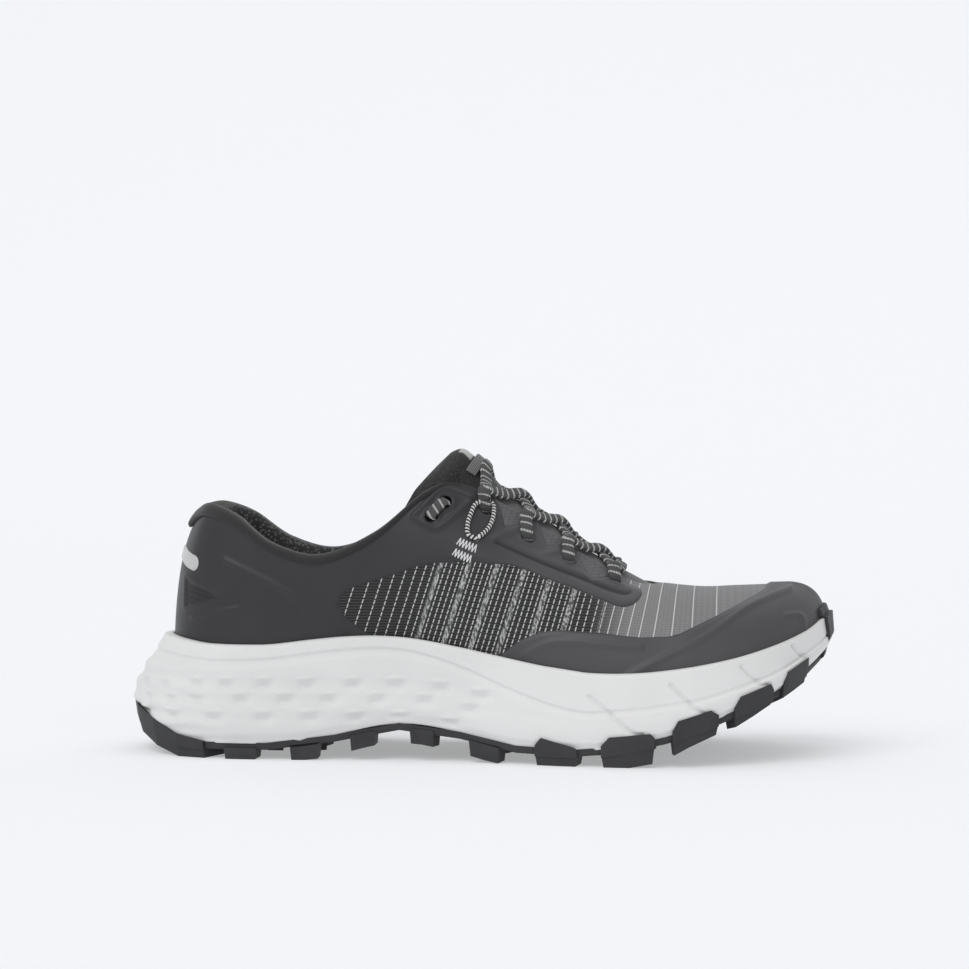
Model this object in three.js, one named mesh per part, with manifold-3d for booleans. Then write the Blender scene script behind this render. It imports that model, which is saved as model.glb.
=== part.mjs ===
// A trail running shoe for the right foot, EU size 42, standing empty on its sole.
// Millimetres, +X to the toe, +Y to the inner side of the foot, +Z up.
// Every form is worked out from the last: its feather line in plan, the sole's side profile and the
// top edge of the upper, which are three short tables on the same stations.
import * as THREE from "three";
import { mergeVertices } from "three/addons/utils/BufferGeometryUtils.js";
import Module from "manifold-3d";

const wasm = await Module();
wasm.setup();

// Driving dimensions of the shoe
const SOLE_LENGTH = 301.5;
const BALL_WIDTH = 93.5; // of the feather line, on which the upper stands
const COLLAR_HEIGHT = 102.5; // top edge of the upper at the back of the heel
const INSTEP_HEIGHT = 114.3; // its top front corner
const TOE_HEIGHT = 71.6; // top of the toe box
const TOE_SPRING = 35; // rise of the sole under the tip of the toe
const TREAD_DEPTH = 6.5; // rubber from the foam to the ground, with its lugs
const PLATE = 2.6; // rubber without lugs
const WRAP = 1.8; // rubber on the side of the foam
const HEEL_FOAM = 30;
const CUP_DEPTH = 11; // rim over footbed
const SOLE_FLARE = 7; // foam past the feather line at the ball
const LIP = 4; // width of the rim
const BAND_STEP = 0.9; // the smooth band under the rim stands out by this much
const WALL = 1.8; // upper
const FILM = 0.8; // toe cap, counter and eyestays
const INSOLE = 4.5;
const COLLAR_PAD = 6.5;
const COLLAR_ROLL = 3; // height of the roll over the upper's edge
const PAD_DEPTH = 34; // reach of the padding down inside the collar
const TONGUE_PAD = 4.2;
const TONGUE_RISE = 11; // the tongue's ridge over the throat's edges
const TONGUE_WING = 13; // width of the tongue under each edge of the throat
const LACE_WIDTH = 5.2;
const LACE_THICKNESS = 2.6;
const EYELET = 5; // bore of the lace holes
const CORD = 2; // thickness of the loop at the second eyelet
const TAB_HEIGHT = 9; // light tab on the back of the heel
const GAP = 0.3; // between pieces that meet
const MERGE = 0.02; // facets left by a cut are merged where they lie this close to one plane
const HEEL_WRAP = { to: 0.132, back: 0.12, front: 0.015, inset: 17 }; // share of length, shares of the side, mm
const BUMPER = { reach: 1.2, thick: 1.6, top: 0.87 }; // stations, mm, share of TOE_HEIGHT
const TAB = { reach: 1.15, middle: 0.825 }; // stations, share of COLLAR_HEIGHT
const KEEPER = { wide: 7, thick: 1.2, reach: 0.32, back: 0.38 }; // mm, mm, stations, stations
const BACK_SEAM = 0.03; // station where each quarter starts at the back of the heel
const LINING_END = 7; // station where the collar's padding ends
const TONGUE_TAPER = 4.5; // the free end draws in by this much from one station to the next

// Feather line in plan, from the back of the heel to the tip of the toe. at: share of SOLE_LENGTH;
// outer, inner: distance from the axis, share of BALL_WIDTH; base, belly: how far the foam stands out
// at its foot and where it is widest, share of SOLE_FLARE; lip: share of LIP; band: height at which the
// smooth band starts, share of the foam's side.
const PLAN = [
  { at: 0.057, outer: 0.0, inner: 0.0, base: 2.25, belly: 2.5, lip: 1.05, band: 0.84 },
  { at: 0.08, outer: 0.195, inner: 0.19, base: 1.8, belly: 2.05, lip: 1.05, band: 0.85 },
  { at: 0.134, outer: 0.316, inner: 0.305, base: 1.36, belly: 1.57, lip: 1.0, band: 0.86 },
  { at: 0.209, outer: 0.353, inner: 0.337, base: 1.21, belly: 1.36, lip: 1.0, band: 0.88 },
  { at: 0.302, outer: 0.348, inner: 0.316, base: 1.14, belly: 1.29, lip: 1.0, band: 0.89 },
  { at: 0.395, outer: 0.353, inner: 0.289, base: 0.93, belly: 1.07, lip: 1.0, band: 0.88 },
  { at: 0.481, outer: 0.396, inner: 0.299, base: 0.79, belly: 0.93, lip: 0.97, band: 0.8 },
  { at: 0.561, outer: 0.444, inner: 0.342, base: 0.86, belly: 0.97, lip: 0.92, band: 0.66 },
  { at: 0.64, outer: 0.497, inner: 0.406, base: 0.93, belly: 1.0, lip: 0.9, band: 0.53 },
  { at: 0.706, outer: 0.524, inner: 0.455, base: 0.93, belly: 1.0, lip: 0.88, band: 0.53 },
  { at: 0.76, outer: 0.519, inner: 0.476, base: 0.93, belly: 1.0, lip: 0.85, band: 0.52 },
  { at: 0.782, outer: 0.51, inner: 0.484, base: 0.92, belly: 1.0, lip: 0.85, band: 0.5 },
  { at: 0.804, outer: 0.494, inner: 0.487, base: 0.9, belly: 1.0, lip: 0.85, band: 0.48 },
  { at: 0.852, outer: 0.439, inner: 0.481, base: 0.8, belly: 0.93, lip: 0.82, band: 0.47 },
  { at: 0.905, outer: 0.332, inner: 0.439, base: 0.64, belly: 0.86, lip: 0.78, band: 0.47 },
  { at: 0.949, outer: 0.176, inner: 0.358, base: 0.36, belly: 0.71, lip: 0.7, band: 0.47 },
  { at: 0.973, outer: 0.032, inner: 0.257, base: 0.05, belly: 0.5, lip: 0.5, band: 0.47 },
  { at: 0.983, outer: -0.118, inner: 0.118, base: -0.2, belly: 0.31, lip: 0.36, band: 0.47 },
];

// Side profile of the sole. tread, floor: rise of the lugs' tips and of the foam's underside, share of
// TOE_SPRING; foam: thickness down to the footbed, share of HEEL_FOAM; cup: share of CUP_DEPTH.
const SIDE = [
  { at: 0.0, tread: 0.294, floor: 0.3, foam: 0.7, cup: 1.18 },
  { at: 0.03, tread: 0.18, floor: 0.19, foam: 0.815, cup: 1.17 },
  { at: 0.068, tread: 0.0, floor: 0.03, foam: 0.98, cup: 1.15 },
  { at: 0.125, tread: 0.0, floor: 0.0, foam: 1.0, cup: 1.0 },
  { at: 0.2, tread: 0.0, floor: 0.0, foam: 1.0, cup: 1.0 },
  { at: 0.27, tread: 0.0, floor: 0.04, foam: 0.99, cup: 1.11 },
  { at: 0.32, tread: 0.1, floor: 0.145, foam: 0.9, cup: 1.15 },
  { at: 0.37, tread: 0.19, floor: 0.235, foam: 0.82, cup: 1.12 },
  { at: 0.42, tread: 0.2, floor: 0.247, foam: 0.8, cup: 1.03 },
  { at: 0.48, tread: 0.1, floor: 0.16, foam: 0.84, cup: 0.92 },
  { at: 0.535, tread: 0.0, floor: 0.046, foam: 0.88, cup: 0.87 },
  { at: 0.6, tread: 0.0, floor: 0.0, foam: 0.83, cup: 0.82 },
  { at: 0.66, tread: 0.0, floor: 0.005, foam: 0.76, cup: 0.79 },
  { at: 0.73, tread: 0.0, floor: 0.1, foam: 0.65, cup: 0.81 },
  { at: 0.795, tread: 0.246, floor: 0.255, foam: 0.53, cup: 0.85 },
  { at: 0.857, tread: 0.47, floor: 0.463, foam: 0.42, cup: 0.81 },
  { at: 0.908, tread: 0.71, floor: 0.643, foam: 0.37, cup: 0.77 },
  { at: 0.95, tread: 0.91, floor: 0.87, foam: 0.27, cup: 0.75 },
  { at: 0.975, tread: 1.05, floor: 1.03, foam: 0.2, cup: 0.82 },
  { at: 1.0, tread: 1.2, floor: 1.2, foam: 0.12, cup: 0.91 },
];

// Top edge of the upper on the stations of PLAN: collar, throat, then the ridge of the closed vamp.
// at: share of SOLE_LENGTH; gap: distance from the ridge's line, share of BALL_WIDTH; height: share of the
// named size; tilt: how far the wall leans in there, degrees; foot, top: reach of the wall's curve from
// each end, share of its chord.
const EDGE = [
  { at: 0.0985, gap: 0.0, height: 1.0 * COLLAR_HEIGHT, tilt: 44, foot: 0.32, top: 0.24 },
  { at: 0.115, gap: 0.172, height: 1.006 * COLLAR_HEIGHT, tilt: 30, foot: 0.32, top: 0.26 },
  { at: 0.158, gap: 0.28, height: 0.956 * COLLAR_HEIGHT, tilt: 12, foot: 0.33, top: 0.3 },
  { at: 0.212, gap: 0.326, height: 0.851 * COLLAR_HEIGHT, tilt: 6, foot: 0.34, top: 0.34 },
  { at: 0.279, gap: 0.346, height: 0.808 * COLLAR_HEIGHT, tilt: 5, foot: 0.34, top: 0.34 },
  { at: 0.355, gap: 0.333, height: 0.903 * COLLAR_HEIGHT, tilt: 12, foot: 0.34, top: 0.34 },
  { at: 0.425, gap: 0.27, height: 0.962 * INSTEP_HEIGHT, tilt: 26, foot: 0.34, top: 0.34 },
  { at: 0.475, gap: 0.2, height: 1.0 * INSTEP_HEIGHT, tilt: 38, foot: 0.34, top: 0.34 },
  { at: 0.561, gap: 0.155, height: 0.884 * INSTEP_HEIGHT, tilt: 46, foot: 0.34, top: 0.36 },
  { at: 0.64, gap: 0.139, height: 0.749 * INSTEP_HEIGHT, tilt: 56, foot: 0.34, top: 0.4 },
  { at: 0.706, gap: 0.115, height: 0.65 * INSTEP_HEIGHT, tilt: 68, foot: 0.36, top: 0.42 },
  { at: 0.737, gap: 0.076, height: 0.632 * INSTEP_HEIGHT, tilt: 80, foot: 0.38, top: 0.44 },
  { at: 0.755, gap: 0.0, height: 1.004 * TOE_HEIGHT, tilt: 90, foot: 0.4, top: 0.46 },
  { at: 0.806, gap: 0.0, height: 0.982 * TOE_HEIGHT, tilt: 90, foot: 0.42, top: 0.48 },
  { at: 0.852, gap: 0.0, height: 0.988 * TOE_HEIGHT, tilt: 90, foot: 0.44, top: 0.48 },
  { at: 0.889, gap: 0.0, height: 0.994 * TOE_HEIGHT, tilt: 90, foot: 0.46, top: 0.48 },
  { at: 0.912, gap: 0.0, height: 0.998 * TOE_HEIGHT, tilt: 90, foot: 0.46, top: 0.48 },
  { at: 0.929, gap: 0.0, height: 1.0 * TOE_HEIGHT, tilt: 90, foot: 0.46, top: 0.48 },
];
const RIDGE = { swing: 0.118 * BALL_WIDTH, from: 0.66, to: 0.94 }; // it leaves the axis towards the big toe

// Rise of the tongue's ridge along the throat. station: on EDGE; rise: share of TONGUE_RISE.
const TONGUE = [
  { station: 5.4, rise: 3.3 },
  { station: 5.9, rise: 2.55 },
  { station: 6.5, rise: 1.72 },
  { station: 7.0, rise: 1.15 },
  { station: 7.5, rise: 0.6 },
  { station: 8.0, rise: 0.42 },
  { station: 9.0, rise: 0.3 },
  { station: 10.0, rise: 0.36 },
  { station: 11.0, rise: 0.12 },
  { station: 11.6, rise: -0.12 },
  { station: 12.3, rise: -0.25 },
];

// Lace holes from the top of the throat down. station: on EDGE; down: distance below the upper's edge.
// The two highest are spare, and the lace starts at the third.
const EYELETS = [
  { station: 6.15, down: 11.2 },
  { station: 6.61, down: 8.5 },
  { station: 7.42, down: 8 },
  { station: 8.07, down: 11.2 },
  { station: 8.78, down: 10 },
  { station: 9.64, down: 7.75 },
];
const FIRST_LACED = 2;

// Edges of the overlays seen from the side. at: share of SOLE_LENGTH; z: share of the named size.
const COUNTER_EDGE = [
  { at: 0.0, z: 0.8 * COLLAR_HEIGHT },
  { at: 0.1, z: 0.82 * COLLAR_HEIGHT },
  { at: 0.158, z: 0.79 * COLLAR_HEIGHT },
  { at: 0.225, z: 0.695 * COLLAR_HEIGHT },
  { at: 0.3, z: 0.55 * COLLAR_HEIGHT },
  { at: 0.345, z: 0.44 * COLLAR_HEIGHT },
];
const WINDOW_EDGE = [
  { at: 0.27, z: 0.3 * INSTEP_HEIGHT },
  { at: 0.29, z: 0.48 * INSTEP_HEIGHT },
  { at: 0.318, z: 0.6 * INSTEP_HEIGHT },
  { at: 0.345, z: 0.65 * INSTEP_HEIGHT },
  { at: 0.393, z: 0.683 * INSTEP_HEIGHT },
  { at: 0.441, z: 0.719 * INSTEP_HEIGHT },
  { at: 0.544, z: 0.711 * INSTEP_HEIGHT },
  { at: 0.593, z: 0.665 * INSTEP_HEIGHT },
  { at: 0.67, z: 0.596 * INSTEP_HEIGHT },
  { at: 0.7, z: 0.568 * INSTEP_HEIGHT },
  { at: 0.74, z: 0.6 * INSTEP_HEIGHT },
];
const TOE_CAP_EDGE = [
  { at: 0.53, z: 0.62 * TOE_HEIGHT },
  { at: 0.562, z: 0.714 * TOE_HEIGHT },
  { at: 0.617, z: 0.774 * TOE_HEIGHT },
  { at: 0.672, z: 0.76 * TOE_HEIGHT },
  { at: 0.763, z: 0.732 * TOE_HEIGHT },
  { at: 0.8, z: 0.792 * TOE_HEIGHT },
  { at: 0.832, z: 0.855 * TOE_HEIGHT },
  { at: 0.865, z: 0.93 * TOE_HEIGHT },
  { at: 0.9, z: 1.02 * TOE_HEIGHT },
];

// Blocks of tread along both sides of the sole. from, to: share of SOLE_LENGTH; inset: width of the block;
// climb: height of the rubber that goes up the foam's side from it, share of the side; fall: what is left of
// that height at the block's front.
const SIDE_LUGS = [
  { from: 0.155, to: 0.196, inset: 15, climb: 0, fall: 1 },
  { from: 0.241, to: 0.281, inset: 14, climb: 0, fall: 1 },
  { from: 0.325, to: 0.361, inset: 13, climb: 0, fall: 1 },
  { from: 0.411, to: 0.446, inset: 13, climb: 0, fall: 1 },
  { from: 0.495, to: 0.538, inset: 14, climb: 0, fall: 1 },
  { from: 0.589, to: 0.646, inset: 15, climb: 0.14, fall: 0.3 },
  { from: 0.678, to: 0.746, inset: 16, climb: 0.16, fall: 0.75 },
  { from: 0.769, to: 0.826, inset: 15, climb: 0.21, fall: 1 },
  { from: 0.846, to: 0.895, inset: 12, climb: 0.25, fall: 1 },
  { from: 0.908, to: 0.942, inset: 10, climb: 0.29, fall: 1 },
];
const LUG_CROWN = [0, 0.14, 0.9, 1]; // where that rubber's height changes along the block
const LUG_ENDS = 0.35; // what is left of its height at both ends
// Arrow-shaped blocks down the middle. at: share of SOLE_LENGTH; reach: half length of the block in mm.
const MIDDLE_LUGS = [
  { at: 0.2, spread: 12, reach: 6, turn: -1 },
  { at: 0.262, spread: 12, reach: 6, turn: -1 },
  { at: 0.53, spread: 14, reach: 6, turn: 1 },
  { at: 0.595, spread: 17, reach: 6.5, turn: 1 },
  { at: 0.66, spread: 18, reach: 6.5, turn: 1 },
  { at: 0.725, spread: 18, reach: 6.5, turn: 1 },
  { at: 0.79, spread: 17, reach: 6, turn: 1 },
  { at: 0.85, spread: 14, reach: 5.5, turn: 1 },
];

const TOE = PLAN.length - 1; // stations run from 0 at the heel to TOE at the tip, and on to 2 TOE
const RING = 2 * TOE;
const VAMP = EDGE.findIndex((row, i) => i > 0 && row.gap === 0); // front of the throat
const STEPS = 2; // sections between two rows of a table
const ROWS = 5; // facets up the wall
const UP = new THREE.Vector3(0, 0, 1);

const wrap = (t) => ((t % RING) + RING) % RING;
const fold = (t) => (wrap(t) <= TOE ? wrap(t) : RING - wrap(t)); // the same station on the outer side
const sideOf = (t) => (wrap(t) <= TOE ? -1 : 1);
const isOpen = (t) => fold(t) < VAMP;
const range = (from, to, count) => Array.from({ length: count + 1 }, (_, i) => from + ((to - from) * i) / count);

// Smooth curve through four neighbouring values, u of the way from the second to the third
function smooth([a, b, c, d], u) {
  return b + 0.5 * u * (c - a + u * (2 * a - 5 * b + 4 * c - d + u * (3 * (b - c) + d - a)));
}

// A value that runs round the shoe: down the outer side to the toe and back along the inner side
function around(rows, outer, inner = outer) {
  const values = [...rows.map(outer), ...rows.slice(1, -1).reverse().map(inner)];
  return (t) => {
    const i = Math.floor(wrap(t));
    const near = [i - 1, i, i + 1, i + 2].map((k) => values[wrap(k)]);
    return smooth(near, wrap(t) - i);
  };
}

// Smooth curve through one column of a table, against another column that grows
function through(rows, key, column) {
  const slope = (k) => {
    const [low, high] = [Math.max(k - 1, 0), Math.min(k + 1, rows.length - 1)];
    return (rows[high][column] - rows[low][column]) / (rows[high][key] - rows[low][key]);
  };
  return (value) => {
    const at = THREE.MathUtils.clamp(value, rows[0][key], rows.at(-1)[key]);
    const k = Math.min(rows.findLastIndex((row) => row[key] <= at), rows.length - 2);
    const span = rows[k + 1][key] - rows[k][key];
    const u = (at - rows[k][key]) / span;
    const [p, q] = [rows[k][column], rows[k + 1][column]];
    const [m, n] = [slope(k) * span, slope(k + 1) * span];
    return p + u * (m + u * (3 * (q - p) - 2 * m - n + u * (2 * (p - q) + m + n)));
  };
}

const lengthOf = (row) => (row.at - 0.5) * SOLE_LENGTH;
const shareOf = (x) => x / SOLE_LENGTH + 0.5;
const featherX = around(PLAN, lengthOf);
const featherY = around(PLAN, (row) => -row.outer * BALL_WIDTH, (row) => row.inner * BALL_WIDTH);
const base = around(PLAN, (row) => row.base * SOLE_FLARE);
const belly = around(PLAN, (row) => row.belly * SOLE_FLARE);
const lip = around(PLAN, (row) => row.lip * LIP);
const band = around(PLAN, (row) => row.band);
const edgeX = around(EDGE, lengthOf);
const edgeGap = around(EDGE, (row) => row.gap * BALL_WIDTH);
const edgeHeight = around(EDGE, (row) => row.height);
const edgeTilt = around(EDGE, (row) => THREE.MathUtils.degToRad(row.tilt));
const footReach = around(EDGE, (row) => row.foot);
const topReach = around(EDGE, (row) => row.top);
const [tread, floor, foam, cup] = ["tread", "floor", "foam", "cup"].map((column) => through(SIDE, "at", column));

const treadZ = (x) => Math.max(0, tread(shareOf(x))) * TOE_SPRING;
const floorZ = (x) => TREAD_DEPTH + Math.max(0, floor(shareOf(x))) * TOE_SPRING;
const footZ = (x) => floorZ(x) + foam(shareOf(x)) * HEEL_FOAM;
const rimZ = (x) => footZ(x) + cup(shareOf(x)) * CUP_DEPTH;
const ridgeY = (x) => THREE.MathUtils.smoothstep(shareOf(x), RIDGE.from, RIDGE.to) * RIDGE.swing;

// Outward normal of the feather line in plan
function outward(t) {
  const step = 0.05;
  const dx = featherX(t + step) - featherX(t - step);
  const dy = featherY(t + step) - featherY(t - step);
  return new THREE.Vector3(dy, -dx, 0).normalize();
}

// A point in plan, a distance out from the feather line, at a height that may depend on its place
function beside(t, out, height) {
  const point = new THREE.Vector3(featherX(t), featherY(t), 0).addScaledVector(outward(t), out);
  return point.setZ(typeof height === "function" ? height(point.x) : height);
}

// Top edge of the upper at station t: its point, the wall's normal there and the wall's way up
function edgeFrame(t) {
  const x = edgeX(t);
  const gap = isOpen(t) ? Math.max(0, edgeGap(t)) : 0;
  const point = new THREE.Vector3(x, ridgeY(x) + sideOf(t) * gap, edgeHeight(t));
  const tilt = isOpen(t) ? edgeTilt(t) : Math.PI / 2;
  const out = outward(t);
  const normal = out.clone().multiplyScalar(Math.cos(tilt)).addScaledVector(UP, Math.sin(tilt));
  const rise = UP.clone().multiplyScalar(Math.cos(tilt)).addScaledVector(out, -Math.sin(tilt));
  return { point, normal, rise };
}

// The last: a point of the upper's surface at station t, share v of the way from the footbed to the
// top edge, a depth in from the outer face
function last(t, v, depth = 0) {
  const out = outward(t);
  const edge = edgeFrame(t);
  const foot = beside(t, 0, footZ).addScaledVector(UP, GAP);
  const chord = foot.distanceTo(edge.point);
  const side = foot.clone().addScaledVector(UP, footReach(t) * chord);
  const shoulder = edge.point.clone().addScaledVector(edge.rise, -topReach(t) * chord);
  const low = [foot, side].map((point) => point.addScaledVector(out, -depth));
  const high = [shoulder, edge.point].map((point) => point.addScaledVector(edge.normal, -depth));
  return new THREE.CubicBezierCurve3(...low, ...high).getPoint(v);
}

// Share v at which a test on the wall's point turns true, going up the wall
function shareWhere(t, passed) {
  if (!passed(last(t, 1))) return 1;
  let [low, high] = [0, 1];
  for (let k = 0; k < 22; k++) {
    const middle = (low + high) / 2;
    if (passed(last(t, middle))) high = middle;
    else low = middle;
  }
  return low;
}
const shareAtHeight = (t, z) => shareWhere(t, (point) => point.z > z);
const shareBelowEdge = (t, distance) => {
  const edge = edgeFrame(t).point;
  return shareWhere(t, (point) => point.distanceTo(edge) < distance);
};
const overRim = (t) => shareAtHeight(t, rimZ(featherX(t)) + 2 * GAP);

// Solid geometry from triangles of shared corners, with its faces turned outwards
function solidOf(triangles) {
  const soup = new THREE.BufferGeometry().setFromPoints(triangles.flat());
  const merged = mergeVertices(soup, 1e-3);
  const index = merged.getIndex().array;
  const position = merged.getAttribute("position");
  const corner = (k) => new THREE.Vector3().fromBufferAttribute(position, k);
  const kept = [];
  let volume = 0;
  for (let k = 0; k < index.length; k += 3) {
    const [a, b, c] = index.subarray(k, k + 3);
    if (a === b || b === c || a === c) continue;
    kept.push(a, b, c);
    volume += corner(a).dot(corner(b).cross(corner(c)));
  }
  merged.setIndex(volume < 0 ? kept.reverse() : kept);
  return merged;
}

// Four corners, split along the shorter diagonal, or along a chosen one where they are alike
function quad(a, b, c, d, swap = false, chosen = false) {
  const [first, second] = [a.distanceTo(c), b.distanceTo(d)];
  const alike = chosen || Math.abs(first - second) < 0.05 * (first + second);
  return (alike ? !swap : first < second) ? [[a, b, c], [a, c, d]] : [[a, b, d], [b, c, d]];
}

// Flat strip over a ring of points, each joined to its partner on the other side. On a ring that starts
// on the axis the first point is its own partner.
function strip(ring, onAxis) {
  const count = ring.length;
  const partner = (k) => (count - k - (onAxis ? 0 : 1)) % count;
  const half = Math.floor((count - 1) / 2);
  return range(0, half, half).slice(0, onAxis ? half + 1 : half).flatMap((k) => {
    const next = Math.min(k + 1, count - 1);
    return quad(ring[partner(k)], ring[partner(next)], ring[next], ring[k], false, onAxis);
  });
}
const flipped = (triangles) => triangles.map(([a, b, c]) => [a, c, b]);

// Skin between rings of points with equal counts, with strips over its two ends unless it is closed
function loft(rings, { closed = false, onAxis = false, open = () => false } = {}) {
  const triangles = [];
  for (let i = 0; i < rings.length - (closed ? 0 : 1); i++) {
    const [here, next] = [rings[i], rings[(i + 1) % rings.length]];
    for (let j = 0; j < here.length; j++) {
      const k = (j + 1) % here.length;
      const swap = j >= here.length / 2;
      if (!open(i, j)) triangles.push(...quad(here[j], here[k], next[k], next[j], swap, onAxis));
    }
  }
  if (!closed) triangles.push(...strip(rings[0], onAxis), ...flipped(strip(rings.at(-1), onAxis)));
  return solidOf(triangles);
}

// Wall that follows the last between two shares and two depths, over a run of stations.
// All walls have their facets at the same stations and shares, so that they lie on each other.
// On the closed vamp, where a wall reaches the ridge, its two sides grow together.
const gridShares = (low, high) => range(0, 1, ROWS).map((v) => THREE.MathUtils.clamp(v, low, high));

function shell(stations, low, high, outer, inner) {
  const closed = stations.length === RING * STEPS;
  const sections = stations.map((t) => {
    const shares = gridShares(low(t), high(t));
    return [...shares.map((v) => last(t, v, outer)), ...shares.map((v) => last(t, v, inner)).reverse()];
  });
  const welded = stations.map((t) => !isOpen(t) && high(t) === 1);
  const open = (i, j) => j === ROWS && welded[i] && welded[(i + 1) % stations.length];
  return loft(sections, { closed, open });
}

function toManifold(geometry) {
  const plain = geometry.clone();
  for (const name of ["normal", "uv"]) plain.deleteAttribute(name);
  const merged = mergeVertices(plain, 1e-4);
  const vertProperties = new Float32Array(merged.getAttribute("position").array);
  const triVerts = new Uint32Array(merged.getIndex().array);
  return new wasm.Manifold(new wasm.Mesh({ numProp: 3, vertProperties, triVerts }));
}

function fromManifold(manifold) {
  const mesh = manifold.getMesh();
  const geometry = new THREE.BufferGeometry();
  geometry.setAttribute("position", new THREE.BufferAttribute(mesh.vertProperties, 3));
  geometry.setIndex(new THREE.BufferAttribute(mesh.triVerts, 1));
  return geometry;
}

const merged = (manifold) => fromManifold(manifold.asOriginal().simplify(MERGE));
const joined = (pieces) => merged(pieces.map(toManifold).reduce((sum, piece) => sum.add(piece)));
const cut = (geometry, tools) => merged(
  tools.map(toManifold).reduce((rest, tool) => rest.subtract(tool), toManifold(geometry)),
);

// Tube or tape of a flat round section along points, its flat side turned to the given normals
function tape(points, normals, width, thickness, sides, closed = false) {
  const rings = points.map((point, i) => {
    const before = points[closed ? (i + points.length - 1) % points.length : Math.max(i - 1, 0)];
    const after = points[closed ? (i + 1) % points.length : Math.min(i + 1, points.length - 1)];
    const along = after.clone().sub(before).normalize();
    const across = along.clone().cross(normals[i]).normalize();
    const over = across.clone().cross(along);
    return range(0, 1, sides).slice(0, sides).map((share) => {
      const angle = (share + 0.5 / sides) * 2 * Math.PI;
      const reach = (k) => Math.sign(k) * Math.abs(k) ** 0.7;
      return point.clone()
        .addScaledVector(across, (reach(Math.cos(angle)) * width) / 2)
        .addScaledVector(over, (reach(Math.sin(angle)) * thickness) / 2);
    });
  });
  return loft(rings, { closed });
}

const ringStations = range(0, RING, RING * STEPS).slice(0, RING * STEPS);
const snap = (t) => Math.round(t * STEPS) / STEPS;
const run = (from, to) => range(snap(from), snap(to), Math.round((snap(to) - snap(from)) * STEPS));

// Distance out of the foam's side from the feather line at a share of its height
const PEAK = 0.3; // height at which the foam is widest, share of its side
function foamSide(t, share) {
  if (share < PEAK) return THREE.MathUtils.lerp(base(t), belly(t), Math.sin((share / PEAK) * Math.PI * 0.5));
  return THREE.MathUtils.lerp(belly(t), lip(t), ((share - PEAK) / (1 - PEAK)) ** 1.3);
}
const foamZ = (share) => (x) => THREE.MathUtils.lerp(floorZ(x), rimZ(x), share);

// The midsole, or with a growth the room that it needs
function midsole(grow = 0) {
  const top = 0.95;
  const side = (t, share, out = 0) => beside(t, foamSide(t, share) + out, foamZ(share));
  const rim = (t) => rimZ(featherX(t));
  const rings = [
    { place: (t) => side(t, 0), out: 1, up: -1 },
    { place: (t) => side(t, PEAK), out: 1, up: 0 },
    { place: (t) => side(t, band(t) - 0.03, -BAND_STEP), out: 1, up: 0 },
    { place: (t) => side(t, band(t)), out: 1, up: 0 },
    { place: (t) => side(t, top), out: 1, up: 0.5 },
    { place: (t) => beside(t, foamSide(t, top) - 1, rimZ), out: 0.5, up: 1 },
    { place: (t) => last(t, shareAtHeight(t, rim(t)), -GAP).setZ(rim(t)), out: -1, up: 1 },
    { place: (t) => beside(t, GAP, footZ), out: -1, up: 1 },
  ].map(({ place, out, up }) => ringStations.map((t) => (
    place(t).addScaledVector(outward(t), out * grow).addScaledVector(UP, up * grow)
  )));
  return loft(rings, { onAxis: true });
}

function insole() {
  const inset = WALL + 4 * GAP;
  const rings = [GAP, GAP + INSOLE].map((height) => (
    ringStations.map((t) => beside(t, -inset, (x) => footZ(x) + height))
  ));
  return loft(rings, { onAxis: true });
}

// Block of tread from the plate to the ground over a plan of corners, drawn in a little at its tip
function block(plan) {
  const middle = plan.reduce((sum, p) => sum.add(p), new THREE.Vector3()).divideScalar(plan.length);
  return loft([
    plan.map((p) => p.clone().setZ(floorZ(p.x) - PLATE + 0.9)),
    plan.map((p) => p.clone().lerp(middle, 0.09).setZ(treadZ(p.x))),
  ]);
}

// Station of the outer side at a share of the shoe's length
function stationAt(share) {
  let [low, high] = [0, TOE];
  for (let k = 0; k < 22; k++) {
    const middle = (low + high) / 2;
    if (shareOf(featherX(middle)) < share) low = middle;
    else high = middle;
  }
  return low;
}

// Rubber on the foam's side over a run of stations, from the plate up to a share of the side
function climb(stations, top) {
  const sections = stations.map((t, i) => {
    const foot = (out) => beside(t, base(t) + out, (x) => floorZ(x) - PLATE - 0.4);
    const head = (out) => beside(t, foamSide(t, top(t, i)) + out, foamZ(top(t, i)));
    return [foot(WRAP), head(WRAP), head(-1), foot(-3)];
  });
  return loft(sections);
}

function sideTread() {
  const pieces = [];
  for (const side of [1, -1]) {
    for (const lug of SIDE_LUGS) {
      const [rear, front] = [lug.from, lug.to].map(stationAt);
      const along = (share) => side * THREE.MathUtils.lerp(rear, front, share);
      const stations = [0, 0.5, 1].map(along);
      const corner = (t, out) => beside(t, base(t) + out, 0);
      const outer = stations.map((t) => corner(t, WRAP * 0.8));
      const inner = [0.72, 1, 0.72].map((share, i) => corner(stations[i], -lug.inset * share));
      pieces.push(block([...outer, ...inner.reverse()]));
      const crown = [LUG_ENDS, 1, lug.fall, LUG_ENDS * lug.fall].map((share) => share * lug.climb);
      if (lug.climb > 0) pieces.push(climb(LUG_CROWN.map(along), (t, i) => crown[i]));
    }
  }
  return pieces;
}

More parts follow.
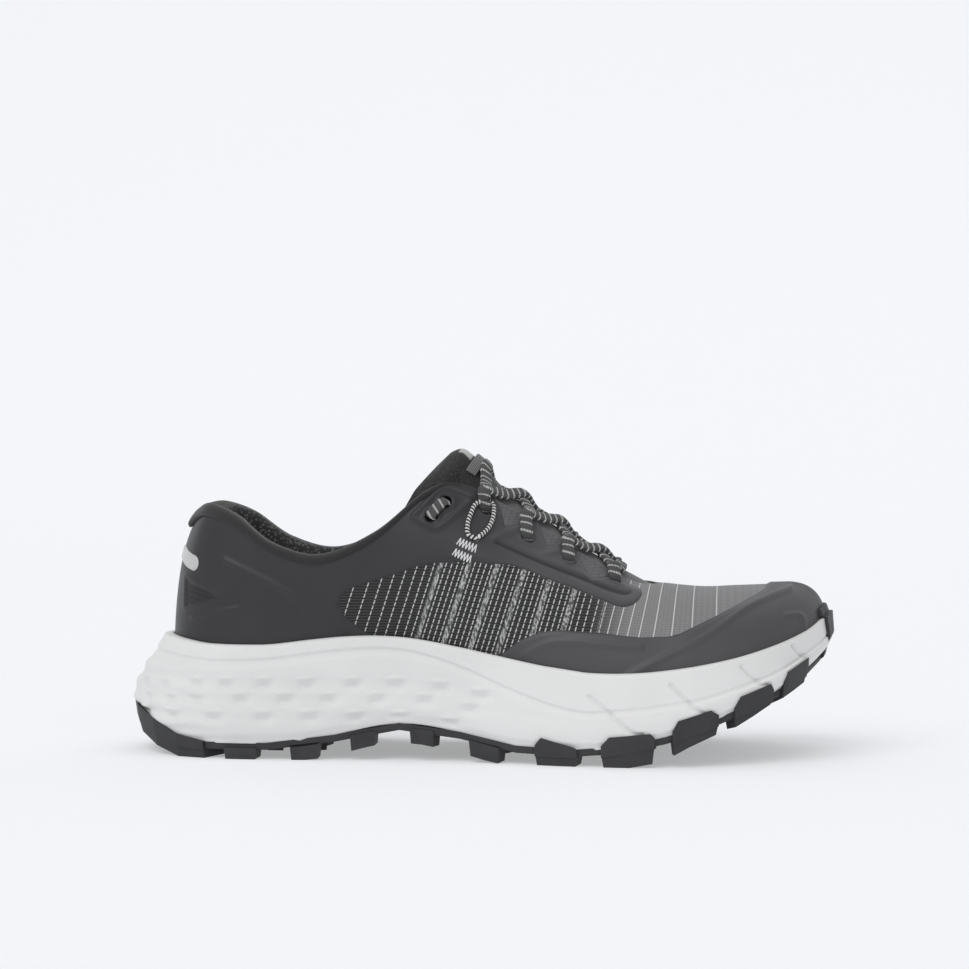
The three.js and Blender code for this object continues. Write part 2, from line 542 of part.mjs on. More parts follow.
// The rubber round the back of the heel: a block on the ground and a wall up the foam
function heelTread() {
  const reach = stationAt(HEEL_WRAP.to);
  const stations = range(-reach, reach, 8);
  const height = (t) => HEEL_WRAP.back - (HEEL_WRAP.back - HEEL_WRAP.front) * (Math.abs(t) / reach) ** 2;
  const sections = stations.map((t) => {
    const [outer, inner] = [WRAP * 0.8, -HEEL_WRAP.inset].map((out) => beside(t, base(t) + out, 0));
    const above = [outer, inner].map((p) => p.clone().setZ(floorZ(p.x) - PLATE + 0.9));
    const below = [inner.clone().lerp(outer, 0.1), outer.clone().lerp(inner, 0.05)];
    return [...above, ...below.map((p) => p.setZ(treadZ(p.x)))];
  });
  return [climb(stations, height), loft(sections)];
}

// Arrow blocks down the middle of the heel and the ball
function middleTread() {
  return MIDDLE_LUGS.flatMap((lug) => [-1, 1].map((side) => {
    const x = lengthOf(lug);
    const y = ridgeY(x) + side * lug.spread * 0.55;
    const corner = (along, across) => new THREE.Vector3(x + along * lug.turn * lug.reach, y + side * across, 0);
    const wide = lug.spread * 0.38;
    return block([
      corner(1, -wide), corner(0.3, wide), corner(-0.9, wide), corner(-0.35, -wide),
    ]);
  }));
}

// Rubber over the tip of the toe, up the foam and the front of the toe cap
function toeBumper() {
  const sections = run(TOE - BUMPER.reach, TOE + BUMPER.reach).map((t) => {
    const fade = Math.sqrt(Math.max(1 - ((t - TOE) / BUMPER.reach) ** 2, 0));
    const rim = rimZ(featherX(t)) + 2 * GAP;
    const crown = THREE.MathUtils.lerp(rim + 1.5, BUMPER.top * TOE_HEIGHT, fade);
    const foot = (out) => beside(t, base(t) + out, (x) => floorZ(x) - PLATE + 0.4);
    const low = (out) => [0.05, PEAK, 0.95].map((share) => beside(t, foamSide(t, share) + out, foamZ(share)));
    const high = (out) => [rim, (rim + crown) / 2, crown].map((z) => last(t, shareAtHeight(t, z), -out));
    const over = 2 * GAP + FILM;
    return [
      foot(BUMPER.thick), ...low(BUMPER.thick), ...high(over + BUMPER.thick),
      ...high(GAP).reverse(), ...low(-GAP).reverse(), foot(-3),
    ];
  });
  return loft(sections);
}

// The tread: a plate under the foam, blocks on it, and rubber that goes up the foam's side
function outsole() {
  const stations = ringStations.filter((t) => t % 1 === 0);
  const plate = loft([
    (t) => beside(t, base(t), (x) => floorZ(x) - PLATE),
    (t) => beside(t, base(t) + 0.6, (x) => floorZ(x) - PLATE + 0.8),
    (t) => beside(t, base(t) + 0.6, (x) => floorZ(x) + 0.4),
  ].map((place) => stations.map(place)), { onAxis: true });
  const rubber = joined([plate, ...heelTread(), ...sideTread(), ...middleTread(), toeBumper()]);
  const toeBox = shell(run(TOE - 3, TOE + 3), () => 0, () => 1, -2.5 * GAP - FILM, WALL);
  return cut(rubber, [midsole(GAP), toeBox]);
}

// Lace holes through the wall and the eyestay
function eyeletBores() {
  return EYELETS.flatMap((eyelet) => [1, -1].map((side) => {
    const t = side * eyelet.station;
    const v = shareBelowEdge(t, eyelet.down);
    const axis = last(t, v, 0).sub(last(t, v, WALL)).normalize();
    const bore = new THREE.CylinderGeometry(EYELET / 2, EYELET / 2, 4 * WALL + 4 * FILM, 6);
    bore.applyQuaternion(new THREE.Quaternion().setFromUnitVectors(new THREE.Vector3(0, 1, 0), axis));
    return bore.translate(...last(t, v, WALL / 2).toArray());
  }));
}

function upper() {
  return cut(shell(ringStations, () => 0, () => 1, 0, WALL), eyeletBores());
}

const overlay = (stations, low, high) => shell(stations, low, high, -GAP - FILM, -GAP);
const [capEdge, counterEdge, windowEdge] = [TOE_CAP_EDGE, COUNTER_EDGE, WINDOW_EDGE].map((rows) => (
  through(rows, "at", "z")
));
const shareOver = (height) => (t) => Math.max(overRim(t), shareWhere(t, (p) => p.z > height(shareOf(p.x))));

function toeCap() {
  const reach = stationAt(TOE_CAP_EDGE[0].at);
  return overlay(run(reach, RING - reach), overRim, shareOver(capEdge));
}

function heelCounter() {
  const reach = stationAt(COUNTER_EDGE.at(-1).at);
  return overlay(run(-reach, reach), overRim, shareOver((at) => counterEdge(at) - GAP));
}

// Overlay of one side above the counter and the mesh window, up to the collar and the throat
function quarter(side) {
  const low = shareOver((at) => Math.max(counterEdge(at) + GAP, windowEdge(at)));
  const outer = [BACK_SEAM, ...run(1 / STEPS, VAMP - 1 / STEPS)];
  const stations = side > 0 ? outer : outer.map((t) => RING - t).reverse();
  return cut(overlay(stations, low, () => 1), eyeletBores());
}

// Thickness of the padding inside the collar, which runs out at the top corners of the throat
const lining = (t) => COLLAR_PAD * (1 - 0.72 * THREE.MathUtils.smoothstep(Math.min(fold(t), LINING_END), 4.6, LINING_END));

// Padded lining of the collar, rolled over the upper's edge
function collar() {
  return loft(run(-LINING_END, LINING_END).map((t) => {
    const { point, normal, rise } = edgeFrame(t);
    const pad = lining(t);
    const over = (height, depth) => point.clone().addScaledVector(rise, height).addScaledVector(normal, -depth);
    const face = WALL + 1.5 * GAP;
    const down = (distance) => shareBelowEdge(t, distance);
    return [
      ...gridShares(down(PAD_DEPTH), 1).slice(-4).map((v) => last(t, v, face)),
      over(GAP, face),
      over(GAP, -GAP - FILM),
      over(0.55 * COLLAR_ROLL, -GAP - FILM - 0.5),
      over(COLLAR_ROLL, WALL * 0.6),
      over(COLLAR_ROLL * 0.85, face + 0.6 * pad),
      over(0, face + pad),
      last(t, down(PAD_DEPTH / 2), face + pad),
      last(t, down(PAD_DEPTH), face + 0.3 * pad),
    ];
  }));
}

// The tongue: an arch between the edges of the throat, with a wing under each of them.
// w runs from -1 to 1 across the throat, and on to -2 and 2 over the wings.
const tongueRise = through(TONGUE, "station", "rise");
const [instep, vamp] = [EDGE[7], EDGE[10]];
const bow = new THREE.Vector3(instep.height - vamp.height, 0, lengthOf(vamp) - lengthOf(instep)).normalize();

function tongueFace(t, w, inset) {
  const free = Math.max(0, LINING_END - t) * TONGUE_TAPER;
  const room = (lining(t) + GAP) * (1 - THREE.MathUtils.smoothstep(t, LINING_END + 0.3, LINING_END + 1.2));
  const depth = WALL + 2.5 * GAP + room + free + inset;
  if (Math.abs(w) > 1) {
    const station = -Math.sign(w) * t;
    return last(station, shareBelowEdge(station, (Math.abs(w) - 1) * TONGUE_WING), depth);
  }
  const [outer, inner] = [t, -t].map((station) => last(station, 1, depth));
  const height = tongueRise(t) * TONGUE_RISE - 0.3 * inset;
  return outer.lerp(inner, (w + 1) / 2).addScaledVector(bow, height * Math.cos((w * Math.PI) / 2));
}

function tongue() {
  const across = range(-2, 2, 12);
  const front = TONGUE.at(-1).station;
  const end = (w) => (Math.abs(w) <= 1 ? 5.95 - 0.15 * w * w : 5.8 + 0.8 * (Math.abs(w) - 1));
  const rows = range(0, 1, 9).map((u) => {
    const place = (w, inset) => tongueFace(THREE.MathUtils.lerp(front, end(w), u), w, inset);
    const thick = (w) => TONGUE_PAD * (Math.abs(w) > 1.6 ? 0.4 : 1) * (u === 1 || u === 0 ? 0.45 : 1);
    return [...across.map((w) => place(w, 0)), ...across.map((w) => place(w, thick(w))).reverse()];
  });
  return loft(rows);
}

// Middle of the lace at w across the throat, with the way up from the tongue there
function overTongue(t, w, lift) {
  const step = 0.05;
  const point = tongueFace(t, w, 0);
  const across = tongueFace(t, w + (w > 0.9 ? 0 : step), 0).sub(tongueFace(t, w - (w < -0.9 ? 0 : step), 0));
  const along = tongueFace(t + step, w, 0).sub(tongueFace(t - step, w, 0));
  const normal = along.cross(across).normalize();
  if (normal.z < 0) normal.negate();
  return { point: point.addScaledVector(normal, lift), normal };
}

// Place on the overlays' outer face, a distance below the top edge and a height over the face
function onWall(t, down, height) {
  const v = shareBelowEdge(t, down);
  const normal = last(t, v, -1).sub(last(t, v, 0)).normalize();
  return { point: last(t, v, -GAP - FILM - height), normal };
}

// One run of lace from a hole of the outer side to a hole of the inner side
function strand(outer, inner, back = 0) {
  const rest = 4 * GAP + LACE_THICKNESS / 2;
  const step = WALL + FILM + 2 * GAP;
  const bridge = range(-1, 1, 4).map((w) => {
    const t = THREE.MathUtils.lerp(outer.station, inner.station, (w + 1) / 2) - back * (1 - w * w);
    if (Math.abs(w) === 1) return onWall(-w * t, 0, rest + GAP);
    return overTongue(t, w, rest + GAP + step * THREE.MathUtils.smoothstep(Math.abs(w), 0.3, 1));
  });
  const route = [
    onWall(outer.station, outer.down + LACE_WIDTH * 0.3, rest), onWall(outer.station, outer.down * 0.5, rest),
    ...bridge,
    onWall(-inner.station, inner.down * 0.5, rest), onWall(-inner.station, inner.down + LACE_WIDTH * 0.3, rest),
  ];
  const [points, normals] = ["point", "normal"].map((key) => route.map((place) => place[key]));
  return tape(points, normals, LACE_WIDTH, LACE_THICKNESS, 6);
}

function laces() {
  const laced = EYELETS.slice(FIRST_LACED);
  const crossings = laced.slice(1).flatMap((eyelet, i) => [strand(laced[i], eyelet), strand(eyelet, laced[i])]);
  return joined([strand(laced[0], laced[0], KEEPER.back), ...crossings, strand(laced.at(-1), laced.at(-1))]);
}

// Cord sewn to the eyestay, over the lace where it enters its first hole
function cordLoop(side) {
  const { station } = EYELETS[FIRST_LACED];
  const low = GAP + CORD / 2;
  const high = low + LACE_THICKNESS + 6 * GAP;
  const route = [
    { off: -0.2, down: 20.5, over: low }, { off: -0.33, down: 17, over: low },
    { off: -0.32, down: 12.5, over: (low + high) / 2 }, { off: -0.26, down: 8, over: high },
    { off: -0.15, down: 5, over: high + 0.4 }, { off: 0.0, down: 4.3, over: high + 0.5 },
    { off: 0.12, down: 5.4, over: high + 0.4 }, { off: 0.15, down: 9, over: high },
    { off: 0.1, down: 13, over: (low + high) / 2 }, { off: -0.03, down: 17.5, over: low },
    { off: -0.11, down: 21, over: low },
  ];
  const places = route.map(({ off, down, over }) => onWall(side * (station + off), down, over));
  const points = new THREE.CatmullRomCurve3(places.map((place) => place.point)).getPoints(12);
  return tape(points, points.map(() => places[0].normal), CORD, CORD, 6);
}

// Woven band along the tongue that holds the top run of lace
function keeper() {
  const { station } = EYELETS[FIRST_LACED];
  const places = range(-1, 1, 8).map((share) => {
    const hump = Math.abs(share) < 0.8 ? LACE_THICKNESS + 6 * GAP : 2 * GAP;
    return overTongue(station - KEEPER.back + share * KEEPER.reach, 0, hump + KEEPER.thick / 2);
  });
  const [points, normals] = ["point", "normal"].map((key) => places.map((place) => place[key]));
  return tape(points, normals, KEEPER.wide, KEEPER.thick, 6);
}

// Light tab wrapped round the back of the heel
function heelTab() {
  const low = (t) => shareAtHeight(t, TAB.middle * COLLAR_HEIGHT - TAB_HEIGHT / 2);
  const high = (t) => shareAtHeight(t, TAB.middle * COLLAR_HEIGHT + TAB_HEIGHT / 2);
  return shell(run(-TAB.reach, TAB.reach), low, high, -2 * GAP - 2 * FILM, -2 * GAP - FILM);
}

const FINISH = {
  rubber: { color: 0x4a4a4a, roughness: 0.8 },
  foam: { color: 0xe9e8e4, roughness: 0.6 },
  mesh: { color: 0x77787a, roughness: 0.9 },
  film: { color: 0x3f3f41, roughness: 0.45 },
  textile: { color: 0x3a3a3c, roughness: 0.95 },
  lace: { color: 0x5a5a5c, roughness: 0.9 },
  tab: { color: 0xb9babb, roughness: 0.5 },
};

const group = new THREE.Group();
function add(name, geometry, finish) {
  const mesh = new THREE.Mesh(geometry, new THREE.MeshStandardMaterial({ ...FINISH[finish], metalness: 0 }));
  mesh.name = name;
  group.add(mesh);
}

add("outsole", outsole(), "rubber");
add("midsole", midsole(), "foam");
add("insole", insole(), "textile");
add("upper", upper(), "mesh");
add("toe_cap", toeCap(), "film");
add("heel_counter", heelCounter(), "film");
add("quarter_outer", quarter(1), "film");
add("quarter_inner", quarter(-1), "film");
add("collar", collar(), "textile");
add("tongue", tongue(), "textile");
add("laces", laces(), "lace");
add("lace_keeper", keeper(), "textile");
add("cord_loop_outer", cordLoop(1), "lace");
add("cord_loop_inner", cordLoop(-1), "lace");
add("heel_tab", heelTab(), "tab");

// The middle of the shoe's own box is the origin in plan
const box = new THREE.Box3().setFromObject(group);
const centre = box.getCenter(new THREE.Vector3());
group.position.set(-centre.x, -centre.y, -box.min.z);

export default group;
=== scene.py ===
# A trail running shoe for the right foot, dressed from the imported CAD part
import math

import bpy
import numpy as np
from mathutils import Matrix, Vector


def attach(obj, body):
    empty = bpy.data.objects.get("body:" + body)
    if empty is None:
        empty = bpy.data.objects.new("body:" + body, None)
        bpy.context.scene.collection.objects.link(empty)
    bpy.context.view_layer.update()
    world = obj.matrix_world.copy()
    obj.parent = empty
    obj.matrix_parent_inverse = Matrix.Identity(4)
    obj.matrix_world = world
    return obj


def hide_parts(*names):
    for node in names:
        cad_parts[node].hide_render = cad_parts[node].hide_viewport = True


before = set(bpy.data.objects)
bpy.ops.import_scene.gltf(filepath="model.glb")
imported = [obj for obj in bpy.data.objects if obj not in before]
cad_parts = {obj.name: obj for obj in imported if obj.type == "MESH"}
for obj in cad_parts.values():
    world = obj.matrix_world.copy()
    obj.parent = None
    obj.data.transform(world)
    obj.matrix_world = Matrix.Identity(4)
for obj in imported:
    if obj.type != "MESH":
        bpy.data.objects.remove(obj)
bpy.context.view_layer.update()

# Sizes and tables of the CAD part, in millimetres in its own frame
SOLE_LENGTH = 301.5
BALL_WIDTH = 93.5
COLLAR_HEIGHT = 102.5
INSTEP_HEIGHT = 114.3
TOE_HEIGHT = 71.6
TOE_SPRING = 35.0
TREAD_DEPTH = 6.5
HEEL_FOAM = 30.0
CUP_DEPTH = 11.0
SOLE_FLARE = 7.0
LIP = 4.0
BAND_STEP = 0.9
WALL = 1.8
FILM = 0.8
COLLAR_PAD = 6.5
COLLAR_ROLL = 3.0
PAD_DEPTH = 34.0
TONGUE_PAD = 4.2
TONGUE_RISE = 11.0
TONGUE_WING = 13.0
LACE_WIDTH = 5.2
LACE_THICKNESS = 2.6
GAP = 0.3
PEAK = 0.3
LINING_END = 7.0
LINING_THINS = 4.6  # station from which the padding gets thinner
LINING_LOSS = 0.72
TONGUE_TAPER = 4.5
SHIFT = np.array([1.3743, 1.6710, 0.0])  # from the part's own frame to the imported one

PLAN_COLUMNS = ("at", "outer", "inner", "base", "belly", "lip", "band")
PLAN_ROWS = np.array([
    (0.057, 0.0, 0.0, 2.25, 2.5, 1.05, 0.84),
    (0.08, 0.195, 0.19, 1.8, 2.05, 1.05, 0.85),
    (0.134, 0.316, 0.305, 1.36, 1.57, 1.0, 0.86),
    (0.209, 0.353, 0.337, 1.21, 1.36, 1.0, 0.88),
    (0.302, 0.348, 0.316, 1.14, 1.29, 1.0, 0.89),
    (0.395, 0.353, 0.289, 0.93, 1.07, 1.0, 0.88),
    (0.481, 0.396, 0.299, 0.79, 0.93, 0.97, 0.8),
    (0.561, 0.444, 0.342, 0.86, 0.97, 0.92, 0.66),
    (0.64, 0.497, 0.406, 0.93, 1.0, 0.9, 0.53),
    (0.706, 0.524, 0.455, 0.93, 1.0, 0.88, 0.53),
    (0.76, 0.519, 0.476, 0.93, 1.0, 0.85, 0.52),
    (0.782, 0.51, 0.484, 0.92, 1.0, 0.85, 0.5),
    (0.804, 0.494, 0.487, 0.9, 1.0, 0.85, 0.48),
    (0.852, 0.439, 0.481, 0.8, 0.93, 0.82, 0.47),
    (0.905, 0.332, 0.439, 0.64, 0.86, 0.78, 0.47),
    (0.949, 0.176, 0.358, 0.36, 0.71, 0.7, 0.47),
    (0.973, 0.032, 0.257, 0.05, 0.5, 0.5, 0.47),
    (0.983, -0.118, 0.118, -0.2, 0.31, 0.36, 0.47),
])
SIDE_COLUMNS = ("at", "floor", "foam", "cup")
SIDE_ROWS = np.array([
    (0.0, 0.3, 0.7, 1.18),
    (0.03, 0.19, 0.815, 1.17),
    (0.068, 0.03, 0.98, 1.15),
    (0.125, 0.0, 1.0, 1.0),
    (0.2, 0.0, 1.0, 1.0),
    (0.27, 0.04, 0.99, 1.11),
    (0.32, 0.145, 0.9, 1.15),
    (0.37, 0.235, 0.82, 1.12),
    (0.42, 0.247, 0.8, 1.03),
    (0.48, 0.16, 0.84, 0.92),
    (0.535, 0.046, 0.88, 0.87),
    (0.6, 0.0, 0.83, 0.82),
    (0.66, 0.005, 0.76, 0.79),
    (0.73, 0.1, 0.65, 0.81),
    (0.795, 0.255, 0.53, 0.85),
    (0.857, 0.463, 0.42, 0.81),
    (0.908, 0.643, 0.37, 0.77),
    (0.95, 0.87, 0.27, 0.75),
    (0.975, 1.03, 0.2, 0.82),
    (1.0, 1.2, 0.12, 0.91),
])
EDGE_HEIGHTS = np.repeat([COLLAR_HEIGHT, INSTEP_HEIGHT, TOE_HEIGHT], 6)  # of the rows, from the heel on
EDGE_COLUMNS = ("at", "gap", "height", "tilt", "foot", "top")
EDGE_ROWS = np.array([
    (0.0985, 0.0, 1.0, 44, 0.32, 0.24),
    (0.115, 0.172, 1.006, 30, 0.32, 0.26),
    (0.158, 0.28, 0.956, 12, 0.33, 0.3),
    (0.212, 0.326, 0.851, 6, 0.34, 0.34),
    (0.279, 0.346, 0.808, 5, 0.34, 0.34),
    (0.355, 0.333, 0.903, 12, 0.34, 0.34),
    (0.425, 0.27, 0.962, 26, 0.34, 0.34),
    (0.475, 0.2, 1.0, 38, 0.34, 0.34),
    (0.561, 0.155, 0.884, 46, 0.34, 0.36),
    (0.64, 0.139, 0.749, 56, 0.34, 0.4),
    (0.706, 0.115, 0.65, 68, 0.36, 0.42),
    (0.737, 0.076, 0.632, 80, 0.38, 0.44),
    (0.755, 0.0, 1.004, 90, 0.4, 0.46),
    (0.806, 0.0, 0.982, 90, 0.42, 0.48),
    (0.852, 0.0, 0.988, 90, 0.44, 0.48),
    (0.889, 0.0, 0.994, 90, 0.46, 0.48),
    (0.912, 0.0, 0.998, 90, 0.46, 0.48),
    (0.929, 0.0, 1.0, 90, 0.46, 0.48),
])
TONGUE_STATION = (5.4, 5.9, 6.5, 7.0, 7.5, 8.0, 9.0, 10.0, 11.0, 11.6, 12.3)
TONGUE_LIFT = (3.3, 2.55, 1.72, 1.15, 0.6, 0.42, 0.3, 0.36, 0.12, -0.12, -0.25)
# Station and mm below the throat's edge of each eyelet, from the top down
EYELETS = ((6.15, 11.2), (6.61, 8.5), (7.42, 8.0), (8.07, 11.2), (8.78, 10.0), (9.64, 7.75))
FIRST_LACED = 2
RIDGE_SWING = 0.118 * BALL_WIDTH
RIDGE_FROM, RIDGE_TO = 0.66, 0.94

TOE = len(PLAN_ROWS) - 1
RING = 2 * TOE
VAMP = 12  # station from which the upper is closed on top
NEAR = 0.05  # step in stations for a slope
HALVINGS = 20

plan = {name: PLAN_ROWS[:, k] for k, name in enumerate(PLAN_COLUMNS)}
side_rows = {name: SIDE_ROWS[:, k] for k, name in enumerate(SIDE_COLUMNS)}
edge_rows = {name: EDGE_ROWS[:, k] for k, name in enumerate(EDGE_COLUMNS)}
edge_rows["height"] = edge_rows["height"] * EDGE_HEIGHTS


def smoothstep(x, low, high):
    u = np.clip((x - low) / (high - low), 0, 1)
    return u * u * (3 - 2 * u)


def spline(a, b, c, d, u):
    """Smooth curve from b to c, between its neighbours a and d"""
    return b + 0.5 * u * (c - a + u * (2 * a - 5 * b + 4 * c - d + u * (3 * (b - c) + d - a)))


def around(outer, inner=None):
    """Closed smooth function of the station, through the values of both sides"""
    inner = outer if inner is None else inner
    values = np.concatenate([outer, inner[-2:0:-1]])

    def at(t):
        w = np.mod(t, RING)
        i = np.floor(w).astype(int)
        return spline(*(values[(i + k) % RING] for k in (-1, 0, 1, 2)), w - i)
    return at


def through(keys, values):
    keys, values = np.asarray(keys, float), np.asarray(values, float)
    count = len(keys)
    slopes = np.array([
        (values[min(k + 1, count - 1)] - values[max(k - 1, 0)])
        / (keys[min(k + 1, count - 1)] - keys[max(k - 1, 0)]) for k in range(count)
    ])

    def at(value):
        x = np.clip(value, keys[0], keys[-1])
        k = np.clip(np.searchsorted(keys, x, side="right") - 1, 0, count - 2)
        span = keys[k + 1] - keys[k]
        u = (x - keys[k]) / span
        p, q, m, n = values[k], values[k + 1], slopes[k] * span, slopes[k + 1] * span
        return p + u * (m + u * (3 * (q - p) - 2 * m - n + u * (2 * (p - q) + m + n)))
    return at


feather_x = around((plan["at"] - 0.5) * SOLE_LENGTH)
feather_y = around(-plan["outer"] * BALL_WIDTH, plan["inner"] * BALL_WIDTH)
base = around(plan["base"] * SOLE_FLARE)
belly = around(plan["belly"] * SOLE_FLARE)
lip = around(plan["lip"] * LIP)
band = around(plan["band"])
edge_x = around((edge_rows["at"] - 0.5) * SOLE_LENGTH)
edge_gap = around(edge_rows["gap"] * BALL_WIDTH)
edge_height = around(edge_rows["height"])
edge_tilt = around(np.radians(edge_rows["tilt"]))
foot_reach = around(edge_rows["foot"])
top_reach = around(edge_rows["top"])
floor_rise, foam, cup = (through(side_rows["at"], side_rows[name]) for name in SIDE_COLUMNS[1:])
tongue_lift = through(TONGUE_STATION, TONGUE_LIFT)


def share_of(x):
    return x / SOLE_LENGTH + 0.5


def floor_z(x):
    return TREAD_DEPTH + np.maximum(0, floor_rise(share_of(x))) * TOE_SPRING


def foot_z(x):
    return floor_z(x) + foam(share_of(x)) * HEEL_FOAM


def rim_z(x):
    return foot_z(x) + cup(share_of(x)) * CUP_DEPTH


def ridge_y(x):
    return smoothstep(share_of(x), RIDGE_FROM, RIDGE_TO) * RIDGE_SWING


def fold(t):
    w = np.mod(t, RING)
    return np.where(w <= TOE, w, RING - w)


def side_of(t):
    return np.where(np.mod(t, RING) <= TOE, -1.0, 1.0)


def unit(a):
    return a / np.maximum(np.linalg.norm(a, axis=-1, keepdims=True), 1e-9)


def length(a):
    return np.linalg.norm(a, axis=-1)


def run_along(line):
    """Length along a line from its start to each of its points"""
    return np.concatenate([[0], np.cumsum(length(np.diff(line, axis=0)))])


def outward(t):
    dx = feather_x(t + NEAR) - feather_x(t - NEAR)
    dy = feather_y(t + NEAR) - feather_y(t - NEAR)
    return unit(np.stack([dy, -dx, np.zeros_like(dx)], -1))


def beside(t, out, height):
    point = np.stack([feather_x(t), feather_y(t), np.zeros_like(t)], -1)
    point += outward(t) * np.asarray(out)[..., None]
    point[..., 2] = height(point[..., 0])
    return point


UP = np.array([0.0, 0.0, 1.0])


def edge_frame(t):
    is_open = fold(t) < VAMP
    x = edge_x(t)
    gap = np.where(is_open, np.maximum(0, edge_gap(t)), 0)
    point = np.stack([x, ridge_y(x) + side_of(t) * gap, edge_height(t)], -1)
    tilt = np.where(is_open, edge_tilt(t), math.pi / 2)[..., None]
    out = outward(t)
    normal = out * np.cos(tilt) + UP * np.sin(tilt)
    rise = UP * np.cos(tilt) - out * np.sin(tilt)
    return point, normal, rise


def last(t, v, depth=0.0):
    """Points of the upper's surface at stations t and shares v of the way up, a depth in from its face"""
    t, v, depth = np.broadcast_arrays(np.asarray(t, float), np.asarray(v, float), np.asarray(depth, float))
    out = outward(t)
    point, normal, rise = edge_frame(t)
    foot = beside(t, np.zeros_like(t), foot_z) + UP * GAP
    chord = length(foot - point)[..., None]
    side = foot + UP * foot_reach(t)[..., None] * chord
    shoulder = point - rise * top_reach(t)[..., None] * chord
    d = depth[..., None]
    a, b, c, e = foot - out * d, side - out * d, shoulder - normal * d, point - normal * d
    u = v[..., None]
    w = 1 - u
    return a * w ** 3 + 3 * b * w * w * u + 3 * c * w * u * u + e * u ** 3


def share_where(t, passed):
    """Share at which a test on the wall's point turns true, going up"""
    t = np.asarray(t, float)
    low, high = np.zeros_like(t), np.ones_like(t)
    for _ in range(HALVINGS):
        middle = (low + high) / 2
        yes = passed(t, last(t, middle))
        low, high = np.where(yes, low, middle), np.where(yes, middle, high)
    return low


def share_at_height(t, z):
    return share_where(t, lambda t, p: p[..., 2] > z)


def share_below_edge(t, distance):
    edge = edge_frame(np.asarray(t, float))[0]
    return share_where(t, lambda t, p: length(p - edge) < distance)


def lining(t):
    station = np.minimum(fold(t), LINING_END)
    return COLLAR_PAD * (1 - LINING_LOSS * smoothstep(station, LINING_THINS, LINING_END))


def metres(points):
    return (np.asarray(points) + SHIFT) / 1000.0


# Camera, fitted to the photograph, in the part's own frame
FOCAL_PX = 2944.0
IMAGE_PX = 969
SENSOR = 36  # mm
VIEW_TURN = math.radians(5)
VIEW_DROP = math.radians(1.96)
CAMERA_AT = np.array([109.8, -1255.2, 157.0])  # mm


def show(name, data):
    made = bpy.data.objects.new(name, data)
    bpy.context.scene.collection.objects.link(made)
    return made


def stand(data, place, look):
    """Shows a camera or a light that looks along a direction"""
    made = show(data.name, data)
    made.location = place
    made.rotation_mode = "QUATERNION"
    made.rotation_quaternion = Vector(look).to_track_quat("-Z", "Y")
    return made


def make_camera():
    data = bpy.data.cameras.new("camera")
    data.sensor_width = SENSOR
    data.lens = FOCAL_PX * SENSOR / IMAGE_PX
    data.clip_start, data.clip_end = 0.05, 30
    look = (
        -math.sin(VIEW_TURN) * math.cos(VIEW_DROP),
        math.cos(VIEW_TURN) * math.cos(VIEW_DROP),
        -math.sin(VIEW_DROP),
    )
    bpy.context.scene.camera = stand(data, metres(CAMERA_AT), look)


# Materials

NOISE_ROUGHNESS = 0.55


class Graph:
    """Short hand for the nodes of one material"""

    def __init__(self, name):
        self.material = bpy.data.materials.new(name)
        self.material.use_nodes = True
        self.tree = self.material.node_tree
        self.shader = self.tree.nodes["Principled BSDF"]

    def node(self, kind, **settings):
        made = self.tree.nodes.new(kind)
        for key, value in settings.items():
            setattr(made, key, value)
        return made

    def feed(self, socket, value):
        """Links a socket, or gives it a number or a colour"""
        if isinstance(value, bpy.types.NodeSocket):
            self.tree.links.new(value, socket)
        else:
            socket.default_value = (*value, 1.0) if isinstance(value, tuple) else value

    def math(self, operation, a, b=0.0):
        made = self.node("ShaderNodeMath", operation=operation)
        self.feed(made.inputs[0], a)
        self.feed(made.inputs[1], b)
        return made.outputs[0]

    def plus(self, a, b):
        return self.math("ADD", a, b)

    def times(self, a, b):
        return self.math("MULTIPLY", a, b)

    def attribute(self, name):
        return self.node("ShaderNodeAttribute", attribute_name=name).outputs["Fac"]

    def place(self):
        return self.node("ShaderNodeTexCoord").outputs["Object"]

    def noise(self, scale, detail, stretch=None):
        vector = self.place()
        if stretch:
            mapping = self.node("ShaderNodeMapping")
            mapping.inputs["Scale"].default_value = stretch
            self.feed(mapping.inputs["Vector"], vector)
            vector = mapping.outputs["Vector"]
        made = self.node("ShaderNodeTexNoise")
        self.feed(made.inputs["Vector"], vector)
        for key, number in (("Scale", scale), ("Detail", detail), ("Roughness", NOISE_ROUGHNESS)):
            made.inputs[key].default_value = number
        return made.outputs["Fac"]

    def ramp(self, value, low, high, to_low=0.0, to_high=1.0):
        made = self.node("ShaderNodeMapRange", interpolation_type="SMOOTHSTEP")
        self.feed(made.inputs["Value"], value)
        for key, number in (("From Min", low), ("From Max", high), ("To Min", to_low), ("To Max", to_high)):
            made.inputs[key].default_value = number
        return made.outputs["Result"]

    def mix(self, share, a, b):
        made = self.node("ShaderNodeMix", data_type="RGBA")
        for key, value in (("Factor", share), ("A", a), ("B", b)):
            self.feed(made.inputs[key], value)
        return made.outputs["Result"]

    def bump(self, height, distance, strength):
        made = self.node("ShaderNodeBump")
        for key, value in (("Height", height), ("Distance", distance), ("Strength", strength)):
            self.feed(made.inputs[key], value)
        return made.outputs["Normal"]

    def finish(self, colour, roughness, normal=None, **constants):
        self.feed(self.shader.inputs["Base Color"], colour)
        self.feed(self.shader.inputs["Roughness"], roughness)
        if normal is not None:
            self.feed(self.shader.inputs["Normal"], normal)
        for key, value in constants.items():
            self.shader.inputs[key.replace("_", " ")].default_value = value
        return self.material


def band_of(g, value, half, soft):
    """1 where the value is within half of zero, with a soft edge"""
    return g.ramp(g.math("ABSOLUTE", value), half - soft, half + soft, 1.0, 0.0)


